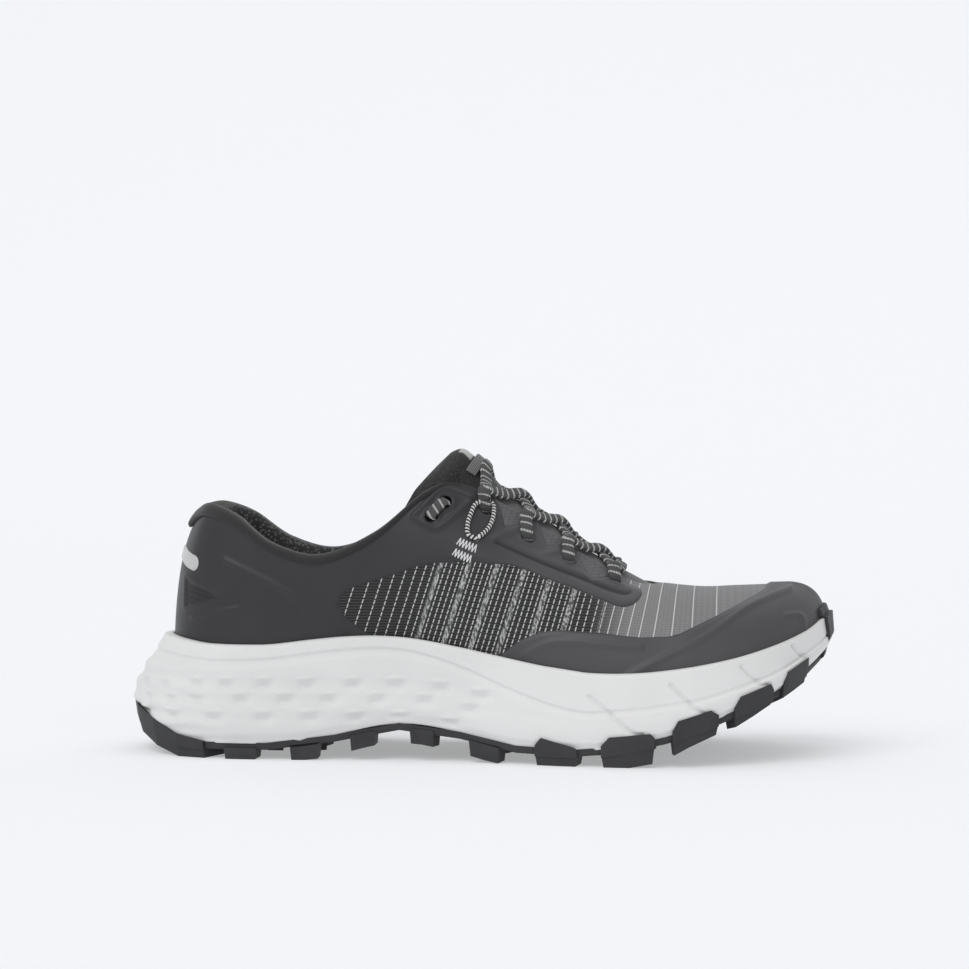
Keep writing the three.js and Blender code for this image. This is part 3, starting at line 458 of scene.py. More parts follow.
def saw(g, value, period):
    """Distance to the nearest multiple of the period"""
    turned = g.math("DIVIDE", value, period)
    near = g.math("ROUND", turned)
    return g.times(g.math("SUBTRACT", turned, near), period)


def foam_material():
    g = Graph("foam")
    broad = g.noise(14, 3)
    fine = g.noise(900, 4)
    shade = g.mix(g.ramp(broad, 0.35, 0.7), (0.75, 0.75, 0.745), (0.80, 0.80, 0.795))
    normal = g.bump(fine, 0.00012, 0.35)
    return g.finish(
        shade, g.ramp(broad, 0.3, 0.7, 0.5, 0.62), normal, Specular_IOR_Level=0.3,
        Subsurface_Weight=0.06, Subsurface_Radius=(0.004, 0.004, 0.004), Subsurface_Scale=1.0,
    )


def rubber_material():
    g = Graph("rubber")
    broad = g.noise(60, 4)
    fine = g.noise(1800, 3)
    colour = g.mix(g.ramp(broad, 0.3, 0.7), (0.028, 0.028, 0.03), (0.042, 0.042, 0.044))
    normal = g.bump(fine, 0.00012, 0.5)
    return g.finish(colour, g.ramp(broad, 0.3, 0.7, 0.5, 0.66), normal, Specular_IOR_Level=0.4)


def film_material():
    g = Graph("film")
    fine = g.noise(1500, 3)
    broad = g.noise(24, 3)
    edge = g.attribute("film_edge_shade")
    dark_panel_and_groove_shade = g.attribute("dark_panel_and_groove_shade")
    colour = g.mix(g.ramp(broad, 0.3, 0.7), (0.03, 0.0295, 0.034), (0.036, 0.0355, 0.04))
    colour = g.mix(g.attribute("front"), colour, (0.074, 0.073, 0.078))
    # Painted shade: the film is darkened along its cut edges and round its eyelets
    colour = g.mix(g.ramp(edge, 0.15, 0.9, 0.55, 0.0), colour, (0.02, 0.02, 0.021))
    # Darker on the ribbed triangle panel, and painted shade in the film's grooves
    colour = g.mix(g.times(dark_panel_and_groove_shade, 0.8), colour, (0.014, 0.014, 0.015))
    normal = g.bump(fine, 0.0001, 0.35)
    return g.finish(
        colour, g.ramp(broad, 0.3, 0.7, 0.42, 0.52), normal, Specular_IOR_Level=0.35,
        Coat_Weight=0.05, Coat_Roughness=0.35,
    )


DASH = 2.3  # mm from one dash of a light thread to the next
STAGGER = 0.37  # mm that a thread's dashes lie above those of the thread before
RIB = 1.2  # mm between the weave's cross ribs
CELL = 0.25  # share of the way from thread to thread that one cell of the weave takes
BAND_EVERY = 5.0  # threads from one heathered band to the next
LIGHT_THREAD = (0.72, 0.72, 0.72)


def fabric_material():
    g = Graph("fabric")
    number, step, up = g.attribute("thread"), g.attribute("thread_step"), g.attribute("thread_up")
    vamp = g.attribute("vamp")
    off = g.math("SUBTRACT", number, g.math("ROUND", number))
    away = g.times(g.math("ABSOLUTE", off), step)
    line = g.ramp(away, 0.14, 0.34, 1.0, 0.0)
    index = g.math("ROUND", number)
    dash = band_of(g, saw(g, g.plus(up, g.times(index, STAGGER)), DASH), 0.86, 0.16)
    dash = g.math("MAXIMUM", dash, g.ramp(vamp, 0.1, 0.45))
    weave = band_of(g, saw(g, up, RIB), 0.3, 0.12)
    cells = band_of(g, saw(g, number, CELL), 0.085, 0.03)
    fuzz = g.noise(1400, 2, stretch=(1.0, 1.0, 0.35))
    is_band = band_of(g, saw(g, g.plus(index, 1.0), BAND_EVERY), 0.425, 0.175)
    in_zone = g.times(g.attribute("heather"), is_band)
    heather = g.times(g.ramp(away, 1.0, 1.3, 1.0, 0.0), in_zone)
    dark = g.mix(weave, (0.062, 0.062, 0.063), (0.012, 0.012, 0.0125))
    dark = g.mix(g.times(cells, 0.5), dark, (0.035, 0.035, 0.036))
    light = g.mix(weave, (0.24, 0.24, 0.243), (0.18, 0.18, 0.183))
    light = g.mix(g.times(cells, 0.6), light, (0.25, 0.25, 0.253))
    colour = g.mix(vamp, dark, light)
    speck = g.ramp(fuzz, 0.4, 0.62, 0.08, 0.5)
    speckled = g.node("ShaderNodeCombineColor")
    for socket in speckled.inputs:
        g.feed(socket, speck)
    colour = g.mix(heather, colour, speckled.outputs[0])
    mark = g.times(g.times(line, dash), g.math("SUBTRACT", 1.0, heather))
    mark = g.times(mark, g.attribute("thread_on"))
    colour = g.mix(g.times(mark, 0.85), colour, LIGHT_THREAD)
    colour = g.mix(g.attribute("throat"), colour, (0.125, 0.125, 0.13))
    height = g.plus(g.times(line, 0.8), g.times(weave, -0.45))
    height = g.plus(height, g.times(fuzz, 0.3))
    normal = g.bump(height, 0.0003, 0.8)
    return g.finish(colour, 0.85, normal, Sheen_Weight=0.15, Sheen_Roughness=0.5, Specular_IOR_Level=0.25)


def knit_material(name, dark, light, scale):
    g = Graph(name)
    cells = g.node("ShaderNodeTexVoronoi")
    g.feed(cells.inputs["Vector"], g.place())
    cells.inputs["Scale"].default_value = scale
    broad = g.noise(70, 3)
    colour = g.mix(g.ramp(cells.outputs["Distance"], 0.1, 0.6), light, dark)
    colour = g.mix(g.ramp(broad, 0.3, 0.75, 0.0, 0.35), colour, dark)
    binding = g.attribute("binding")
    colour = g.mix(binding, colour, (0.03, 0.03, 0.031))
    colour = g.mix(g.times(g.attribute("lower"), 0.8), colour, (0.2, 0.2, 0.205))
    colour = g.mix(g.attribute("patch"), colour, (0.5, 0.5, 0.5))
    height = g.times(cells.outputs["Distance"], g.math("SUBTRACT", 1.0, binding))
    normal = g.bump(height, 0.0005, -0.8)
    return g.finish(colour, 0.85, normal, Sheen_Weight=0.2, Sheen_Roughness=0.5, Specular_IOR_Level=0.25)


TICK_ROW = 3.4  # mm between the rows of light ticks on the lace
TICK = 0.62  # mm between the ticks of a row
BRAID = 0.9  # mm between the strands of the braid
SLANT = 0.35  # slope of a row of ticks, and of a stripe of the cord
CORD_STRIPE = 1.5  # mm between the stripes of the cord


def lace_material():
    g = Graph("lace")
    along, across = g.attribute("along"), g.attribute("across")
    row = band_of(g, saw(g, g.plus(along, g.times(across, SLANT)), TICK_ROW), 0.42, 0.12)
    tick = band_of(g, saw(g, across, TICK), 0.19, 0.06)
    braid = g.plus(
        saw(g, g.plus(along, across), BRAID), saw(g, g.math("SUBTRACT", along, across), BRAID),
    )
    colour = g.mix(g.ramp(braid, -0.4, 0.4), (0.035, 0.035, 0.036), (0.12, 0.12, 0.122))
    mark = g.times(row, tick)
    colour = g.mix(g.times(mark, 0.9), colour, (0.75, 0.75, 0.74))
    normal = g.bump(g.plus(braid, g.times(mark, 0.4)), 0.00025, 0.7)
    return g.finish(colour, 0.85, normal, Sheen_Weight=0.2, Specular_IOR_Level=0.25)


def cord_material():
    g = Graph("cord")
    along, across = g.attribute("along"), g.attribute("across")
    twist = g.plus(along, g.times(across, SLANT))
    stripe = band_of(g, saw(g, twist, CORD_STRIPE), 0.36, 0.08)
    colour = g.mix(stripe, (0.03, 0.03, 0.031), (0.7, 0.7, 0.69))
    normal = g.bump(g.math("ABSOLUTE", saw(g, twist, CORD_STRIPE / 2)), 0.0003, 0.6)
    return g.finish(colour, 0.8, normal, Specular_IOR_Level=0.25)


def webbing_material():
    g = Graph("webbing")
    along, across = g.attribute("along"), g.attribute("across")
    ribs, cross = saw(g, across, 0.8), saw(g, along, 0.7)
    weave = g.plus(g.math("ABSOLUTE", ribs), g.math("ABSOLUTE", cross))
    colour = g.mix(g.ramp(weave, 0.1, 0.6), (0.05, 0.05, 0.051), (0.24, 0.24, 0.242))
    return g.finish(colour, 0.85, g.bump(weave, 0.0004, 0.8), Sheen_Weight=0.2, Specular_IOR_Level=0.25)


def plain_material(name, colour, roughness):
    g = Graph(name)
    fine = g.noise(700, 3)
    shade = g.mix(g.ramp(g.noise(40, 2), 0.35, 0.7), colour, tuple(c * 0.88 for c in colour))
    return g.finish(shade, roughness, g.bump(fine, 0.0001, 0.5), Specular_IOR_Level=0.4)


# Meshes

def build(name, points, quads, material, fields=None, replaces=()):
    """Piece from points in millimetres and corners of its faces, without points that no face uses"""
    quads = np.asarray(quads)
    used, quads = np.unique(quads, return_inverse=True)
    quads = quads.reshape(-1, 4)
    places = metres(np.asarray(points).reshape(-1, 3)[used]).astype(np.float32)
    mesh = bpy.data.meshes.new(name)
    mesh.vertices.add(len(places))
    mesh.vertices.foreach_set("co", places.ravel())
    mesh.loops.add(quads.size)
    mesh.loops.foreach_set("vertex_index", quads.ravel().astype(np.int32))
    mesh.polygons.add(len(quads))
    mesh.polygons.foreach_set("loop_start", np.arange(0, quads.size, 4, dtype=np.int32))
    mesh.polygons.foreach_set("loop_total", np.full(len(quads), 4, dtype=np.int32))
    mesh.polygons.foreach_set("use_smooth", np.ones(len(quads), dtype=bool))
    mesh.update(calc_edges=True)
    mesh.validate()
    for key, values in (fields or {}).items():
        layer = mesh.attributes.new(key, "FLOAT", "POINT")
        layer.data.foreach_set("value", np.asarray(values, np.float32).ravel()[used])
    mesh.materials.append(material)
    piece = show(name, mesh)
    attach(piece, "root")
    if replaces:
        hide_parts(*replaces)
    return piece


def grid_quads(rows, columns, closed_rows=False, closed_columns=False):
    """Corners of the faces of a grid, one face a row"""
    across = np.arange(rows if closed_rows else rows - 1)
    along = np.arange(columns if closed_columns else columns - 1)
    i, j = np.meshgrid(across, along, indexing="ij")
    a, b = (i + 1) % rows, (j + 1) % columns
    corners = (i * columns + j, a * columns + j, a * columns + b, i * columns + b)
    return np.stack(corners, -1).reshape(-1, 4)


def tube_quads(rows, columns):
    """Faces of a closed tube, with the two that close its ends"""
    k = np.arange(columns // 2 - 1)
    cap = np.stack([k, k + 1, columns - 2 - k, columns - 1 - k], -1)
    return np.concatenate([grid_quads(rows, columns, False, True), cap, cap + (rows - 1) * columns])


def distance_to(points, line, closed=False):
    """Distance from points (x, z) to a line of corners"""
    line = np.asarray(line, float)
    ends = np.roll(line, -1, 0) if closed else line[1:]
    starts = line if closed else line[:-1]
    best = np.full(points.shape[:-1], 1e9)
    for a, b in zip(starts, ends):
        ab = b - a
        u = np.clip(((points - a) @ ab) / (ab @ ab), 0, 1)
        best = np.minimum(best, length(points - a - u[..., None] * ab))
    return best


def inside(points, corners):
    corners = np.asarray(corners, float)
    x, z = points[..., 0], points[..., 1]
    result = np.zeros(x.shape, bool)
    for (ax, az), (bx, bz) in zip(corners, np.roll(corners, -1, 0)):
        if az != bz:
            crosses = (az > z) != (bz > z)
            result ^= crosses & (x < (bx - ax) * (z - az) / (bz - az) + ax)
    return result


def signed(points, corners):
    """Distance to a closed outline, positive inside it"""
    away = distance_to(points, corners, True)
    return np.where(inside(points, corners), away, -away)


def curve_through(corners, count):
    """Smooth line through corners, evenly spread"""
    corners = np.asarray(corners, float)
    padded = np.concatenate([2 * corners[:1] - corners[1:2], corners, 2 * corners[-1:] - corners[-2:-1]])
    u = np.linspace(0, 1, 24, endpoint=False)[:, None]
    fine = [spline(*padded[k:k + 4], u) for k in range(len(corners) - 1)]
    fine = np.concatenate([*fine, corners[-1:]])
    run = run_along(fine)
    at = np.linspace(0, run[-1], count)
    return np.stack([np.interp(at, run, fine[:, k]) for k in range(fine.shape[1])], -1)


def bulge(points, line, width, height):
    """Low ridge of a round profile along a line, or a groove where its height is below zero"""
    return height * np.exp(-(distance_to(points, line) / width) ** 2)


# The upper's surface, sampled once: stations round the shoe by rows up the wall
STATIONS = RING * 26  # round the shoe
ROWS = 84
SUNK = 5.0  # mm that the wall goes down behind the foam's rim
t_line = np.arange(STATIONS) * (RING / STATIONS)
v_low = share_where(t_line, lambda t, p: p[..., 2] > rim_z(feather_x(t)) - SUNK)
v_grid = v_low[:, None] + (1 - v_low[:, None]) * np.linspace(0, 1, ROWS + 1)
t_grid = np.broadcast_to(t_line[:, None], v_grid.shape)
skin = last(t_grid, v_grid)
is_open = fold(t_line) < VAMP


def weld(index_grid, row):
    """Gives the two sides of the closed vamp the same points along the ridge"""
    for i in range(STATIONS):
        partner = (STATIONS - i) % STATIONS
        if not is_open[i] and partner < i:
            index_grid[i, row] = index_grid[partner, row]


def normals_of(grid):
    along = np.roll(grid, -1, 0) - np.roll(grid, 1, 0)
    up = np.gradient(grid, axis=1)
    return unit(np.cross(along, up))


skin_normal = normals_of(skin)
skin_normal *= np.sign(np.sum(skin_normal * outward(t_grid), -1).mean())
closed_rows = ~is_open
skin_normal[closed_rows, -1] = UP
side_xz = skin[..., [0, 2]]

# Marks on the side of the upper, (x, z) in millimetres
WINDOW = [
    (-58.7, 64.7), (-57.4, 68.1), (-55.3, 70.4), (-49.3, 72.8), (-41.1, 75.2), (-32.6, 77.9), (-25.0, 80.8),
    (-17.6, 82.2), (-3.1, 82.8), (13.7, 81.5), (21.9, 78.9), (28.3, 76.1), (40.8, 71.6), (52.9, 66.7),
    (57.4, 64.8), (60.8, 64.0), (64.7, 64.8), (67.0, 66.5), (68.3, 68.7), (67.4, 70.6), (62.7, 72.4),
    (59.8, 73.8),
    (60.2, 78.0), (60.2, 95.0), (123.0, 95.0), (121.5, 74.0),
    (120.1, 70.2), (111.2, 66.2), (100.1, 61.0), (89.8, 56.4), (84.5, 53.9), (79.2, 52.6), (68.0, 52.4),
    (51.6, 54.2), (35.1, 55.3), (26.7, 54.3), (18.4, 50.9), (14.2, 47.8), (9.8, 44.3), (0.0, 30.0),
    (-36.0, 30.0),
    (-44.4, 51.4), (-49.6, 54.6), (-55.8, 59.7),
]
NOTCHES = [  # film cut away along the throat
    [(6.1, 107.3), (7.4, 106.3), (9.2, 101.9), (10.6, 96.9), (13.3, 97.7), (19.6, 99.2), (20.4, 99.9),
     (23.0, 104.0), (20.0, 112.0), (8.0, 116.0), (4.5, 112.0)],
    [(25.3, 95.5), (27.0, 91.7), (28.3, 88.8), (31.7, 90.1), (33.5, 90.8), (37.0, 94.0), (34.0, 102.0),
     (24.0, 104.0)],
    [(40.5, 83.8), (43.4, 80.9), (45.6, 77.1), (47.3, 75.5), (50.1, 75.7), (54.1, 76.3), (57.0, 79.0),
     (52.0, 90.0), (40.0, 94.0)],
]
RIDGES = [  # corners, width, and height, which is below zero for a groove
    ([(7.1, 90.7), (12.5, 88.1), (27.3, 81.6), (40.6, 76.3), (53.1, 71.2), (60.4, 68.8), (62.7, 69.0)],
     0.75, -0.7),
    ([(6.4, 92.7), (11.8, 90.1), (26.6, 83.6), (39.9, 78.3), (52.4, 73.2), (60.0, 71.2)], 1.1, 0.35),
    ([(7.2, 92.0), (9.6, 93.3), (17.1, 95.7)], 0.9, 0.7),
    ([(27.3, 85.1), (34.1, 86.4)], 0.8, 0.6),
    ([(-27.5, 101.4), (-23.1, 105.7), (-18.2, 110.9), (-14.8, 112.2), (-11.6, 111.5), (-4.8, 108.4),
      (-5.0, 106.7), (-7.8, 103.8), (-12.9, 99.4), (-16.7, 96.7), (-20.1, 97.1), (-26.4, 100.5),
      (-27.5, 101.4)], 0.95, 1.0),
    ([(20.5, 44.7), (25.6, 47.6), (31.0, 49.9), (41.4, 50.6), (53.9, 49.4), (68.3, 48.3)], 1.2, 0.9),
    ([(63.5, 37.4), (76.5, 43.5), (92.8, 51.3), (101.7, 56.7), (111.3, 62.7), (120.9, 66.5), (130.3, 69.3)],
     1.2, 1.0),
    ([(128.1, 59.6), (133.0, 59.9), (135.4, 57.4), (135.6, 51.6)], 1.0, 0.7),
    ([(-107.6, 82.6), (-96.4, 77.7), (-83.2, 71.2), (-68.7, 61.6), (-54.5, 53.4)], 1.1, 0.7),
    ([(-122.0, 57.8), (-111.9, 60.6), (-101.3, 62.4)], 1.0, 0.5),
]
TRIANGLE = [(-125.8, 74.5), (-125.6, 62.0), (-110.2, 66.4), (-111.6, 68.0)]
TRIANGLE_RIB = 2.1  # mm between its ribs
TOE_COVERED = 140  # x from which the film closes over the toe, mm

film_depth = -signed(side_xz, WINDOW)
for notch in NOTCHES:
    film_depth = np.minimum(film_depth, -signed(side_xz, notch))
film_depth = np.where(side_xz[..., 0] > TOE_COVERED, 20.0, film_depth)
relief = np.zeros(skin.shape[:2])
# Where the grooves are; the film is darkened there with painted shade
groove = np.zeros(skin.shape[:2])
for corners, width, height in RIDGES:
    shape = bulge(side_xz, curve_through(corners, 6 * len(corners)), width, height)
    relief += shape
    if height < 0:
        groove = np.maximum(groove, shape / height)
panel = signed(side_xz, TRIANGLE)
panel_on = smoothstep(panel, -0.2, 0.6)
ribs = np.cos(2 * math.pi * (side_xz[..., 1] + 0.28 * side_xz[..., 0]) / TRIANGLE_RIB)
relief += panel_on * (0.28 * ribs - 0.35) + 0.35 * np.exp(-((panel + 0.7) / 0.8) ** 2)


def eyelet_place(station, down, side):
    t = np.array(side * station, float)
    v = share_below_edge(t, down)
    return last(t, v), unit(last(t, v, -1.0) - last(t, v, 1.0))


HOLE = 2.6  # radius of an eyelet
HOLE_REACH = 6.0  # mm along its axis within which it cuts
SNAP_IN, SNAP_OUT = 0.55, 0.45  # mm inside and outside the rim from which points move onto it


def punched(points, radius):
    """The points, with those near a hole's rim moved onto it, and which of them lie in a hole"""
    gone = np.zeros(points.shape[:2], bool)
    for centre, axis in hole_list:
        offset = points - centre
        along = offset @ axis
        flat = offset - along[..., None] * axis
        away = length(flat)
        close = np.abs(along) < HOLE_REACH
        rim = close & (away > radius - SNAP_IN) & (away < radius + SNAP_OUT)
        scale = np.where(rim, radius / np.maximum(away, 1e-6), 1.0)
        points = points + flat * (scale - 1)[..., None]
        gone |= close & (away < radius - SNAP_IN)
    return points, gone


hole_list = [eyelet_place(station, down, side) for station, down in EYELETS for side in (1, -1)]
near_hole = np.min([length(skin - centre) for centre, axis in hole_list], axis=0)
relief += 0.45 * np.exp(-((near_hole - HOLE - 0.9) / 0.7) ** 2) * (near_hole < 8)

# Where each light thread crosses THREAD_HEIGHT, in mm
EVEN_FROM, EVEN_STEP, EVEN_COUNT = -22.4, 2.4, 27
THREADS = np.array([
    -62.0, -56.0, -50.2, -45.2, -40.6, -36.2, -32.0, -28.2, -25.0,
    *(EVEN_FROM + EVEN_STEP * np.arange(EVEN_COUNT)),
    42.6, 45.6, 49.0, 52.7, 56.5, 60.7, 64.9, 69.4, 75.0, 81.9, 89.6, 99.4, 112.0, 124.0,
])
THREAD_HEIGHT = 62.0


def thread_fields():
    """Marks that the fabric's threads and zones are drawn from"""
    x, z = side_xz[..., 0], side_xz[..., 1]
    lean = 0.325 - 0.08 * smoothstep(x, 5, 55) - 0.245 * smoothstep(x, 55, 100)
    at = x - 0.6 * (1 - smoothstep(x, 45, 60)) - lean * (z - THREAD_HEIGHT)
    number = np.interp(at, THREADS, np.arange(len(THREADS)))
    climb = length(np.diff(skin, axis=1))
    up = np.concatenate([np.zeros((STATIONS, 1)), np.cumsum(climb, 1)], 1)
    up = up + rim_z(skin[:, :1, 0]) - SUNK
    throat = smoothstep(z - 0.25 * np.abs(x - 30) + 0.6 * x, 92, 96) * (1 - smoothstep(x, 54, 58))
    return {
        "thread": number,
        "thread_step": np.interp(number, np.arange(len(THREADS) - 1) + 0.5, np.diff(THREADS)),
        "thread_up": z + (up - z) * smoothstep(x, 56, 90),
        "vamp": smoothstep(at, 46, 66),
        "heather": smoothstep(at, -24, -22) * (1 - smoothstep(at, 50, 54)) * (1 - throat),
        "thread_on": (1 - smoothstep(at, 102, 105)) * (1 - throat),
        "throat": throat,
    }


INNER_ROWS = 14


def upper_piece(material):
    inner_v = v_low[:, None] + (1 - v_low[:, None]) * np.linspace(1, 0, INNER_ROWS)
    inner = last(np.broadcast_to(t_line[:, None], inner_v.shape), inner_v, WALL)
    point, normal, rise = edge_frame(t_line)
    lipped = (point + rise * 0.35 - normal * (WALL * 0.5))[:, None]
    outer, gone = punched(skin, HOLE + 0.3)
    grid = np.concatenate([outer, lipped, inner], 1)
    columns = grid.shape[1]
    index = np.arange(STATIONS * columns).reshape(STATIONS, columns)
    weld(index, ROWS)
    weld(index, ROWS + 2)
    quads = grid_quads(STATIONS, columns, closed_rows=True)
    row = quads[:, 0] % columns
    station = quads[:, 0] // columns
    on_ridge = closed_rows[station] & closed_rows[(station + 1) % STATIONS]
    keep = ~(on_ridge & ((row == ROWS) | (row == ROWS + 1)))
    flat_gone = np.zeros(grid.shape[:2], bool)
    flat_gone[:, :ROWS + 1] = gone
    keep &= ~flat_gone.ravel()[quads].any(1)
    quads = index.ravel()[quads[keep]]
    fields = {}
    for key, values in thread_fields().items():
        fields[key] = np.concatenate([values, np.zeros((STATIONS, columns - values.shape[1]))], 1)
    build("upper_shell", grid, quads, material, fields, ["upper"])


def film_piece(name, wanted, material, replaces):
    """Film over the part of the skin that is wanted. It dives under the mesh at its edge."""
    height = np.clip(film_depth * 0.55, -0.6, FILM)
    lifted = height + relief * smoothstep(film_depth, 0.2, 1.6)
    points, in_hole = punched(skin + skin_normal * lifted[..., None], HOLE)
    gone = (film_depth < -1.0) | ~wanted | in_hole
    index = np.arange(gone.size).reshape(gone.shape)
    weld(index, ROWS)
    quads = grid_quads(STATIONS, ROWS + 1, closed_rows=True)
    quads = index.ravel()[quads[~gone.ravel()[quads].any(1)]]
    fields = {
        # where painted shade darkens the film, along its edges and round its eyelets
        "film_edge_shade": np.minimum(film_depth, (near_hole - HOLE) * 0.8),
        # darker on the triangle panel, and painted shade in the grooves
        "dark_panel_and_groove_shade": np.maximum(panel_on * 0.7, groove),
        "front": smoothstep(side_xz[..., 0], -15, 30),
    }
    build(name, points, quads, material, fields, replaces)


# Foam

def foam_profile(t, share):
    low = base(t) + (belly(t) - base(t)) * np.sin(np.clip(share / PEAK, 0, 1) * math.pi / 2)
    high = belly(t) + (lip(t) - belly(t)) * np.clip((share - PEAK) / (1 - PEAK), 0, 1) ** 1.3
    return np.where(share < PEAK, low, high)


DIMPLES = [  # dimples of the outer side by rows, (x, z)
    [(-134.6, 31.9), (-119.5, 33.0), (-106.2, 33.3), (-89.5, 33.6), (-71.3, 33.7), (-52.1, 33.9),
     (-33.9, 34.0), (-15.1, 33.1), (1.9, 30.2)],
    [(-131.0, 26.0), (-119.0, 26.7), (-99.2, 27.3), (-80.3, 27.5), (-62.0, 27.6), (-41.8, 27.7),
     (-21.7, 27.6), (-2.3, 24.4)],
    [(-110.5, 19.6), (-89.2, 20.0), (-70.0, 20.2), (-50.9, 20.2), (-32.1, 20.3), (-10.8, 18.3)],
]
DIMPLE_HALF = 3.3  # half the length of a dimple, mm
PILLOW = 8.0  # reach of the soft hollow round a dimple, mm
DIMPLE_STEP, DIMPLE_LEAST = 18, 17  # mm from dimple to dimple round the heel
BACK_GAP = 9.4  # mm of the middle row's first gap from the back
HEEL_RIB = 7.2  # mm between the soft ribs at the back of the heel
GROOVES = [
    [(48.0, 28.7), (56.2, 22.0), (65.5, 14.4), (69.6, 13.7)],
    [(81.2, 33.9), (93.1, 22.9), (97.4, 22.0)],
    [(110.2, 40.7), (117.9, 33.5), (120.9, 32.9)],
    [(131.5, 48.0), (135.4, 43.2), (137.6, 42.5)],
]
RIM_NICKS = [(-97.0, 46.5), (-72.0, 49.0), (-40.0, 51.0), (-4.0, 43.0)]
FOAM_STATIONS = RING * 24
FOAM_ROWS = 96
FOAM_TOP = 0.955  # share of the way to the rim at which its round edge starts
RIM_ROUND = ((0.5, 0.25), (0.85, 0.8), (1.0, 1.6))  # share of the rise, and mm inwards
INSETS = (9.0, 0.8)  # mm that the rings under the foam lie inside its foot
TUCK = 4.0  # mm that the foam goes down behind the upper's wall
GIRTH_ROW = 40  # row along which the foam's girth is measured


def dimples(round_heel, z, outer_x, outer_run):
    """Depth of the dimples on both sides. Their rows go on round the heel."""
    dent = np.zeros_like(z)
    for number, row in enumerate(DIMPLES):
        centres = [(float(np.interp(x, outer_x, outer_run)), height) for x, height in row]
        first, height = centres[0]
        spare = first - (BACK_GAP if number == 1 else 0.0)
        step = spare / max(1, round(spare / DIMPLE_STEP))
        centres += [(first - k * step, height) for k in range(1, int(spare / DIMPLE_LEAST) + 1)]
        for run, height in centres:
            rise = z - height
            shelf = 0.85 * np.exp(-((rise + 3.1) / 1.6) ** 2)
            crest = 0.75 * np.exp(-((rise - 0.1) / 0.9) ** 2)
            for side in (1, -1):
                away = side * round_heel - run
                dent += np.exp(-np.abs(away / DIMPLE_HALF) ** 3) * (shelf - crest)
                dent += 0.8 * np.exp(-(away / PILLOW) ** 2 - ((rise + 2.2) / 2.8) ** 2)
    return dent


def foam_face(t):
    """Outer face of the foam, with its step, dimples, grooves and nicks"""
    tt, ss = np.meshgrid(t, np.linspace(0, FOAM_TOP, FOAM_ROWS), indexing="ij")
    step_at = band(tt)
    below = smoothstep(ss, PEAK * 0.6, PEAK + 0.12) * (1 - smoothstep(ss, step_at - 0.035, step_at))
    step = BAND_STEP * below * (1 - 0.55 * smoothstep(feather_x(tt), 30, 80))
    place = beside(tt, foam_profile(tt, ss) - step, floor_z)
    place[..., 2] = place[..., 2] * (1 - ss) + rim_z(place[..., 0]) * ss
    normal = normals_of(place)
    normal *= np.sign(np.sum(normal * outward(tt), -1).mean())
    line = place[:, GIRTH_ROW]
    girth = run_along(line)
    total = girth[-1] + length(line[0] - line[-1])
    round_heel = np.where(girth > total / 2, girth - total, girth)
    x, z = place[..., 0], place[..., 2]
    half = len(t) // 2
    dent = dimples(round_heel[:, None], z, line[:half, 0], round_heel[:half])
    fade = smoothstep(ss, 0.03, 0.12) * (1 - smoothstep(ss, step_at - 0.13, step_at - 0.05))
    heel = smoothstep(-x, 96, 134)
    bumps = np.cos(2 * math.pi * (z - 29.6) / HEEL_RIB)
    move = fade * (0.8 + 0.55 * heel * bumps - dent * (1.25 + 0.15 * heel))
    xz = place[..., [0, 2]]
    for line in GROOVES:
        move += bulge(xz, curve_through(line, 5 * len(line)), 0.8, -1.3)
    for nick_x, nick_z in RIM_NICKS:
        nick = [(nick_x - 1.2, nick_z + 2.2), (nick_x + 1.2, nick_z - 2.2)]
        move += bulge(xz, nick, 0.5, -0.4)
    return place + normal * move[..., None]


def foam_piece(material):
    t = np.arange(FOAM_STATIONS) * (RING / FOAM_STATIONS)
    place = foam_face(t)
    corner = place[:, -1]
    rim = rim_z(feather_x(t))
    rings = []
    for lift, draw in RIM_ROUND:
        ring = corner - outward(t) * draw
        ring[:, 2] = corner[:, 2] + (rim - corner[:, 2]) * lift
        rings.append(ring)
    wall = last(t, share_where(t, lambda t, p: p[..., 2] > rim_z(feather_x(t))), -FILM - 0.35)
    wall[:, 2] = rim
    rings += [rings[-1] * 0.35 + wall * 0.65, wall, wall - UP * TUCK]
    feet = [beside(t, base(t) - inset, floor_z)[:, None] for inset in INSETS]
    grid = np.concatenate([*feet, place, *(ring[:, None] for ring in rings)], 1)
    quads = grid_quads(FOAM_STATIONS, grid.shape[1], closed_rows=True)
    build("foam_midsole", grid, quads, material, None, ["midsole"])


# Cloth, laces and trim

COLLAR_STATIONS = 360
COLLAR_STEPS = 6  # points from one point of the collar's section to the next


